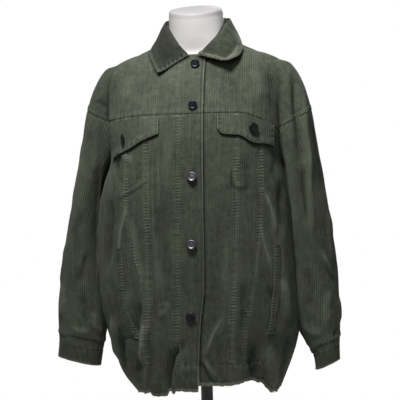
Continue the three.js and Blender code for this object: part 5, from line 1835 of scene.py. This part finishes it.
BUTTONS, BUTTON_TIPS, BUTTON_SIZES = [], (-20, -8, 12, 14, -8), (0.9, 0.9, 1, 1, 1)
for i, up in enumerate(BUTTON_HEIGHTS):
    place = -curve(CLOSING, up)[0]
    up = up - 2.5 * (i in (2, 3))  # a loose shank lets a button hang a little
    name, off = f"metal_button_{i + 1}", SEAM + 0.5
    button = place_button(name, RIGHT, place, up, off, BUTTON_TIPS[i], BUTTON_SIZES[i])
    # buttons 3 and 4 get a lighter copy of the metal, a painted reflection of the soft box
    if i in (2, 3):
        button.data.materials[0] = rubbed_metal
    BUTTONS.append((button, f"button_{i + 1}"))
for hand in (RIGHT, LEFT):
    arc, up = FLAP_BUTTON[hand]
    loose = hand == RIGHT  # its button lies nearly on edge
    off = DOUBLED + PATCH_GAP - 0.4 + 2.4 * loose
    name = f"metal_flap_button_{SIDE[hand]}"
    button = place_button(name, hand, arc, up, off, 0, 1 - 0.14 * loose, -28 * loose)
    BUTTONS.append((button, f"flap_button_{SIDE[hand]}"))
bpy.data.objects.remove(button_shape)
print(len(BUTTONS), "buttons")

# %% [markdown]
# ## Topstitching and frayed threads
# Two rows of stitches hold the yoke seam and the flaps, and one row the other seams. Each stitch is
# a short thread that dips into the cloth at both ends. One is modelled and then laid along the
# seams about 1,700 times, joined in one mesh. The raw edges shed short threads, which are thin
# tapered slivers; each has a few faces only, for the same reason.

# %% One stitch and one loose thread
def small_shape(sides, length, radius, taper):
    """A little thread along X with some flat sides, as its vertices and faces."""
    bpy.ops.object.select_all(action="DESELECT")
    bpy.ops.mesh.primitive_cylinder_add(
        vertices=sides, radius=radius * MM, depth=length * MM, rotation=(0, math.radians(90), 0)
    )
    shape = bpy.context.object
    bpy.ops.object.transform_apply(rotation=True)
    edit(shape, (bpy.ops.mesh.subdivide, {"number_cuts": 1}))
    for vertex in shape.data.vertices:
        along = abs(vertex.co.x) / (length * MM / 2)
        if taper:
            vertex.co.yz *= 0.25 + 0.75 * (0.5 - vertex.co.x / (length * MM))
        else:
            vertex.co.yz *= 1 - 0.35 * along**2
            vertex.co.z -= 0.55 * MM * along**2
    points = np.array([vertex.co[:] for vertex in shape.data.vertices]) / MM
    faces = [list(face.vertices) for face in shape.data.polygons]
    mesh = shape.data
    bpy.data.objects.remove(shape)
    bpy.data.meshes.remove(mesh)
    return points, faces


STITCH = small_shape(4, 3.0, 0.34, False)
LOOSE = small_shape(3, 1.0, 0.2, True)


def many(name, shape, places, alongs, ups, lengths, material):
    """Copies of a small shape in one mesh: each at its place, turned along one direction."""
    points, faces = shape
    alongs = alongs / np.linalg.norm(alongs, axis=1, keepdims=True)
    sides = np.cross(ups, alongs)
    sides /= np.linalg.norm(sides, axis=1, keepdims=True)
    ups = np.cross(alongs, sides)
    turned_points = (
        alongs[:, None] * (points[:, 0] * lengths[:, None])[..., None]
        + sides[:, None] * points[None, :, 1, None]
        + ups[:, None] * points[None, :, 2, None]
    )
    vertices = (places[:, None] + turned_points).reshape(-1, 3) * MM
    count = len(points)
    all_faces = [[count * k + i for i in face] for k in range(len(places)) for face in faces]
    mesh = bpy.data.meshes.new(name)
    mesh.from_pydata(vertices.tolist(), [], all_faces)
    piece = bpy.data.objects.new(name, mesh)
    bpy.context.collection.objects.link(piece)
    mesh.materials.append(material)
    select_only(piece)
    bpy.ops.object.shade_smooth_by_angle(angle=math.radians(70))
    print(name, len(places), "threads,", len(all_faces), "faces")
    return piece


def thread(name, dark, pale):
    look = Look(name)
    place = look.here()
    twist = look.noise(place, 900.0, 2.0)
    colour = look.mixed((twist * 1.4 - 0.2).clamped(), dark, pale)
    look.finish(Base_Color=colour, Roughness=0.7, Normal=look.bump(twist, 0.4, 0.0003))
    return look.material


stitching = thread("green_thread", rgb(0.06, 0.068, 0.048), rgb(0.12, 0.132, 0.098))
fraying = thread("frayed_yarn", rgb(0.07, 0.078, 0.056), rgb(0.2, 0.21, 0.16))
print("threads ready")


# %% Where the rows of stitches run
def spread(points, pitch):
    """Places and directions every pitch along a line of points."""
    steps = np.linalg.norm(np.diff(points, axis=0), axis=1)
    run = np.append(0, np.cumsum(steps))
    at = np.arange(pitch / 2, run[-1], pitch)
    along = lambda runs: np.stack([np.interp(runs, run, points[:, k]) for k in range(3)], -1)
    return along(at), along(at + 0.5) - along(at - 0.5)


STITCH_PITCH, STITCH_LIFT = 4.0, 5.0


def stitch_row(hand, face, arc, up, off):
    arc, up = np.asarray(arc, float), np.asarray(up, float)
    place, along = spread(on_cloth(hand, face, arc, up, off), STITCH_PITCH)
    lifted = spread(on_cloth(hand, face, arc, up, off + STITCH_LIFT), STITCH_PITCH)[0]
    count = min(len(place), len(lifted))
    return place[:count], along[:count], lifted[:count] - place[:count]


ROWS = []
for hand in (RIGHT, LEFT):
    for face in (FRONT, BACK):
        start = 0 if face == BACK else float(front_edge(hand, YOKE)) + 3
        arc = np.linspace(start, HALVES[hand, face].limits(DROP[hand])[1] - 2, 220)
        for above in (2.0, 8.5):
            ROWS.append(stitch_row(hand, face, arc, under_yoke(hand, face, arc) + above, 0.9))
    flap = FLAPS[hand]
    arc = np.linspace(flap[0][0] + 7, flap[-1][0] - 7, 80)
    top, bottom = curve(flap, arc)
    for inset in (2.5, 7.5):
        ROWS.append(stitch_row(hand, FRONT, arc, bottom + inset, DOUBLED + PATCH_GAP + 0.5))
    for arc_at in (flap[0][0] + 3, flap[-1][0] - 3):
        top, bottom = curve(flap, float(arc_at))
        up = np.linspace(bottom + 3, top - 2, 24)
        ROWS.append(stitch_row(hand, FRONT, arc_at + 0 * up, up, DOUBLED + PATCH_GAP + 0.3))
    up = np.linspace(BAND_TOP + 3, YOKE - 12, 240)
    for seam, inset in ((1, 2.2), (2, -2.2)):
        ROWS.append(stitch_row(hand, FRONT, upright_seam(hand, FRONT, seam)(up) + inset, up, 0.75))
    ROWS.append(stitch_row(hand, BACK, upright_seam(hand, BACK, 1)(up) + 2.2, up, 0.7))
up = np.linspace(BAND_TOP + 3, 688, 260)
ROWS.append(stitch_row(RIGHT, FRONT, facing_line(up), up, 0.1))
place, along, lift = (np.concatenate([row[k] for row in ROWS]) for k in range(3))
topstitching = many("topstitching", STITCH, place, along, lift, np.ones(len(place)), stitching)

# %% Frayed threads on the raw edges
def fringe(line, down, out, pitch, seed, longest):
    """Loose threads along a raw edge: down is where they hang to, out away from the cloth."""
    random = np.random.default_rng(seed)
    place, along = spread(line, pitch)
    count = len(place)
    length = random.uniform(0.35, 1, count) ** 1.6 * longest
    lean = random.normal(0, 0.5, (count, 1))
    along /= np.linalg.norm(along, axis=1, keepdims=True)
    way = np.asarray(down) + along * lean + np.asarray(out) * random.uniform(-0.1, 0.5, (count, 1))
    way /= np.linalg.norm(way, axis=1, keepdims=True)
    place = place - way * 0.6 + way * length[:, None] / 2 - np.asarray(out) * 0.9
    return place, way, np.asarray(out) + 0 * along + 0.01, length


FRINGES = []
for hand in (RIGHT, LEFT):
    for face in (FRONT, BACK):
        start = 0.0 if face == BACK else float(front_edge(hand, 25))
        arc = np.linspace(start, float(HALVES[hand, face].limits(20)[0]) - 1, 300)
        line = on_cloth(hand, face, arc, hem_edge(hand, face, arc))
        FRINGES.append(fringe(line, (0, 0, -1), (0, face * 0.6, 0), 1.1, 31 + hand + 5 * face, 3.4))
    around = np.linspace(-1, 1, 200) * float(half_round(hand, np.array([-1.0]), np.array([70.0]))[0])
    line = on_arm(hand, around, CUFF[hand][1] + 0 * around, 0 * around)
    FRINGES.append(fringe(line, (0, 0, -1), (0, 0, 0.01), 1.2, 61 + hand, 2.6))
w = np.linspace(0.004, 0.996, 500)
edge = leaf_edge_at(w)
FRINGES.append(fringe(edge, (0, -0.25, -1), (0, 0, 0.01), 1.5, 71, 1.8))
place, way, up, length = (np.concatenate([part[k] for part in FRINGES]) for k in range(4))
frayed = many("frayed_threads", LOOSE, place, way, up, length, fraying)

# %% [markdown]
# ## Dress form and stand
# The garment hangs on a limbless form with a slanted flat top, on a pole and a round base. The
# frame holds the form as rings with flat facets. A copy of it is subdivided, which rounds it, and
# its top is raised a little in front. The pole and base get small bevels where they were turned.

# %% The form, pole and base
def copied_node(node_name, name):
    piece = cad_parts[node_name].copy()
    piece.data = piece.data.copy()
    piece.name = piece.data.name = name
    piece.data.materials.clear()
    for key in list(piece.keys()):
        del piece[key]
    piece.parent = None
    bpy.context.collection.objects.link(piece)
    edit(piece, (bpy.ops.mesh.remove_doubles, {"threshold": 0.00001}))
    return piece


form = copied_node("form_torso", "dress_form")
edit(form, (bpy.ops.mesh.tris_convert_to_quads, {"face_threshold": 1.2, "shape_threshold": 1.2}))
apply_modifier(form, "SUBSURF", levels=2, render_levels=2)
TOP_RAISED = 0.004  # so that it slants a little less than the frame's
for vertex in form.data.vertices:
    x, y, z = vertex.co
    in_front, at_top = ease(np.clip((0.045 - y) / 0.1, 0, 1)), ease(np.clip((z - 0.89) / 0.04, 0, 1))
    vertex.co.z += TOP_RAISED * in_front * at_top
select_only(form)
bpy.ops.object.shade_smooth()
pole = copied_node("stand_pole", "turned_pole")
base = copied_node("stand_base", "turned_base")
for piece in (pole, base):
    edit(piece, (bpy.ops.mesh.dissolve_limited, {"angle_limit": math.radians(2)}))
    sharp = {"limit_method": "ANGLE", "angle_limit": math.radians(40)}
    apply_modifier(piece, "BEVEL", width=0.0008, segments=2, **sharp)
    select_only(piece)
    bpy.ops.object.shade_smooth_by_angle(angle=math.radians(35))
print("form has", len(form.data.polygons), "faces")


# %% Their finishes
TOP_SLANT, TOP_HEIGHT = 0.26, 0.946  # the form's top slants, so its height depends on the depth


def form_shell(name, dark, pale):
    look = Look(name)
    place = look.here()
    cloudy = look.noise(place, 14.0, 3.0)
    grain = look.noise(place, 800.0, 2.0)
    colour = look.mixed(cloudy, dark, pale)
    left, back, high = look.parts(place, "XYZ")
    # painted light on the form's left side, and painted shade on its right
    colour = look.mixed((left * 20.0).clamped() * (left * 20.0), colour, rgb(0.88, 0.86, 0.855))
    colour = look.mixed((left * -20.0).clamped() * 0.35, colour, rgb(0.35, 0.34, 0.34))
    # painted shade on the neck below the collar
    collar_shade = (((HEM + 730) * MM - high) * 30.0).clamped()
    colour = look.mixed(collar_shade * 0.55, colour, rgb(0.33, 0.31, 0.3))
    # painted shade under the front of the top's rim
    below_top = high - back * TOP_SLANT - TOP_HEIGHT
    rim_shade = (below_top * 22.0 + 1.0).clamped() * 0.3 + (below_top * 100.0 + 1.4).clamped() * 0.7
    in_front = (back * -25.0).clamped()
    colour = look.mixed(rim_shade * in_front, colour, rgb(0.3, 0.29, 0.29))
    # painted shade on the top
    top_shade = (below_top * 400.0 + 1.0).clamped()
    colour = look.mixed(top_shade * 0.8, colour, rgb(0.28, 0.275, 0.275))
    look.finish(
        Base_Color=colour,
        Roughness=0.5 + grain * 0.12,
        Normal=look.bump(grain, 0.08, 0.0003),
        Specular_IOR_Level=0.3,
    )
    return look.material


def black_metal():
    look = Look("black_metal")
    place = look.here()
    orange_peel = look.noise(place, 700.0, 2.0)
    dust = look.noise(place, 30.0, 4.0, 0.6)
    colour = look.mixed((dust - 0.3).clamped(), rgb(0.006, 0.006, 0.007), rgb(0.02, 0.02, 0.021))
    look.finish(
        Base_Color=colour, Roughness=0.32 + dust * 0.2, Metallic=0.3,
        Normal=look.bump(orange_peel, 0.15, 0.0002),
    )
    return look.material


form.data.materials.append(form_shell("form_shell", rgb(0.58, 0.555, 0.55), rgb(0.64, 0.62, 0.615)))
# The top faces get a darker copy of the finish: painted shade for the stronger light on them.
form.data.materials.append(form_shell("form_top", rgb(0.255, 0.25, 0.25), rgb(0.285, 0.28, 0.28)))
for face in form.data.polygons:
    if face.center.z > 0.9 and face.normal.z > 0.8:
        face.material_index = 1
for piece in (pole, base):
    piece.data.materials.clear()
    piece.data.materials.append(black_metal())
print("form and stand finished")

# %% Floor
bpy.ops.object.select_all(action="DESELECT")
bpy.ops.mesh.primitive_circle_add(vertices=96, radius=0.7, fill_type="NGON", location=(0, 0, 0))
floor = bpy.context.object
floor.name = "floor"
down = {"value": (0, 0, -0.012)}
edit(floor, (bpy.ops.mesh.extrude_region_move, {"TRANSFORM_OT_translate": down}))
edit(floor, (bpy.ops.mesh.normals_make_consistent, {"inside": False}))
look = Look("pale_floor")
cloudy = look.noise(look.here(), 3.0)
look.finish(
    Base_Color=look.mixed(cloudy, rgb(0.78, 0.78, 0.78), rgb(0.82, 0.82, 0.82)),
    Roughness=0.8,
)
floor.data.materials.append(look.material)
floor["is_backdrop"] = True
print("floor radius 0.7 m")

# %% [markdown]
# ## What each piece stands for
# Every new piece stands for one or more solids of the frame, which stay for collisions but aren't
# shown. All of it rides on the one body, since nothing of an overshirt on its form is jointed.

# %% Bodies, and the frame's solids that the new pieces hide
NODES = {  # of the pieces that aren't named as their node is
    "hem_band_front_right": "front_band_right",
    "hem_band_front_left": "front_band_left",
    "hem_band_back": "back_band",
    "pocket_welt_right": "hand_pocket_welt_right",
    "pocket_welt_left": "hand_pocket_welt_left",
}
for piece, flat, area, rests_on, thick, held in SHEETS:
    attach(piece, "root")
    node = piece.name.removeprefix("cloth_")
    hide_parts(NODES.get(node, node))
    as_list(rests_on)
for button, node in BUTTONS:
    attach(button, "root")
    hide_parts(node)
STAND = [
    (form, "form_torso", "form_shell"),
    (pole, "stand_pole", "stand_metal"),
    (base, "stand_base", "stand_metal"),
]
for piece, node, slot in STAND:
    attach(piece, "root")
    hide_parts(node)
for piece in (topstitching, frayed):
    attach(piece, "root")
print("every piece rides on the body")

# %% The frame's box and the finished object's
boxes = [[list(corner) for corner in box] for box in (cad_box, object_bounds())]
print("made", boxes[1])
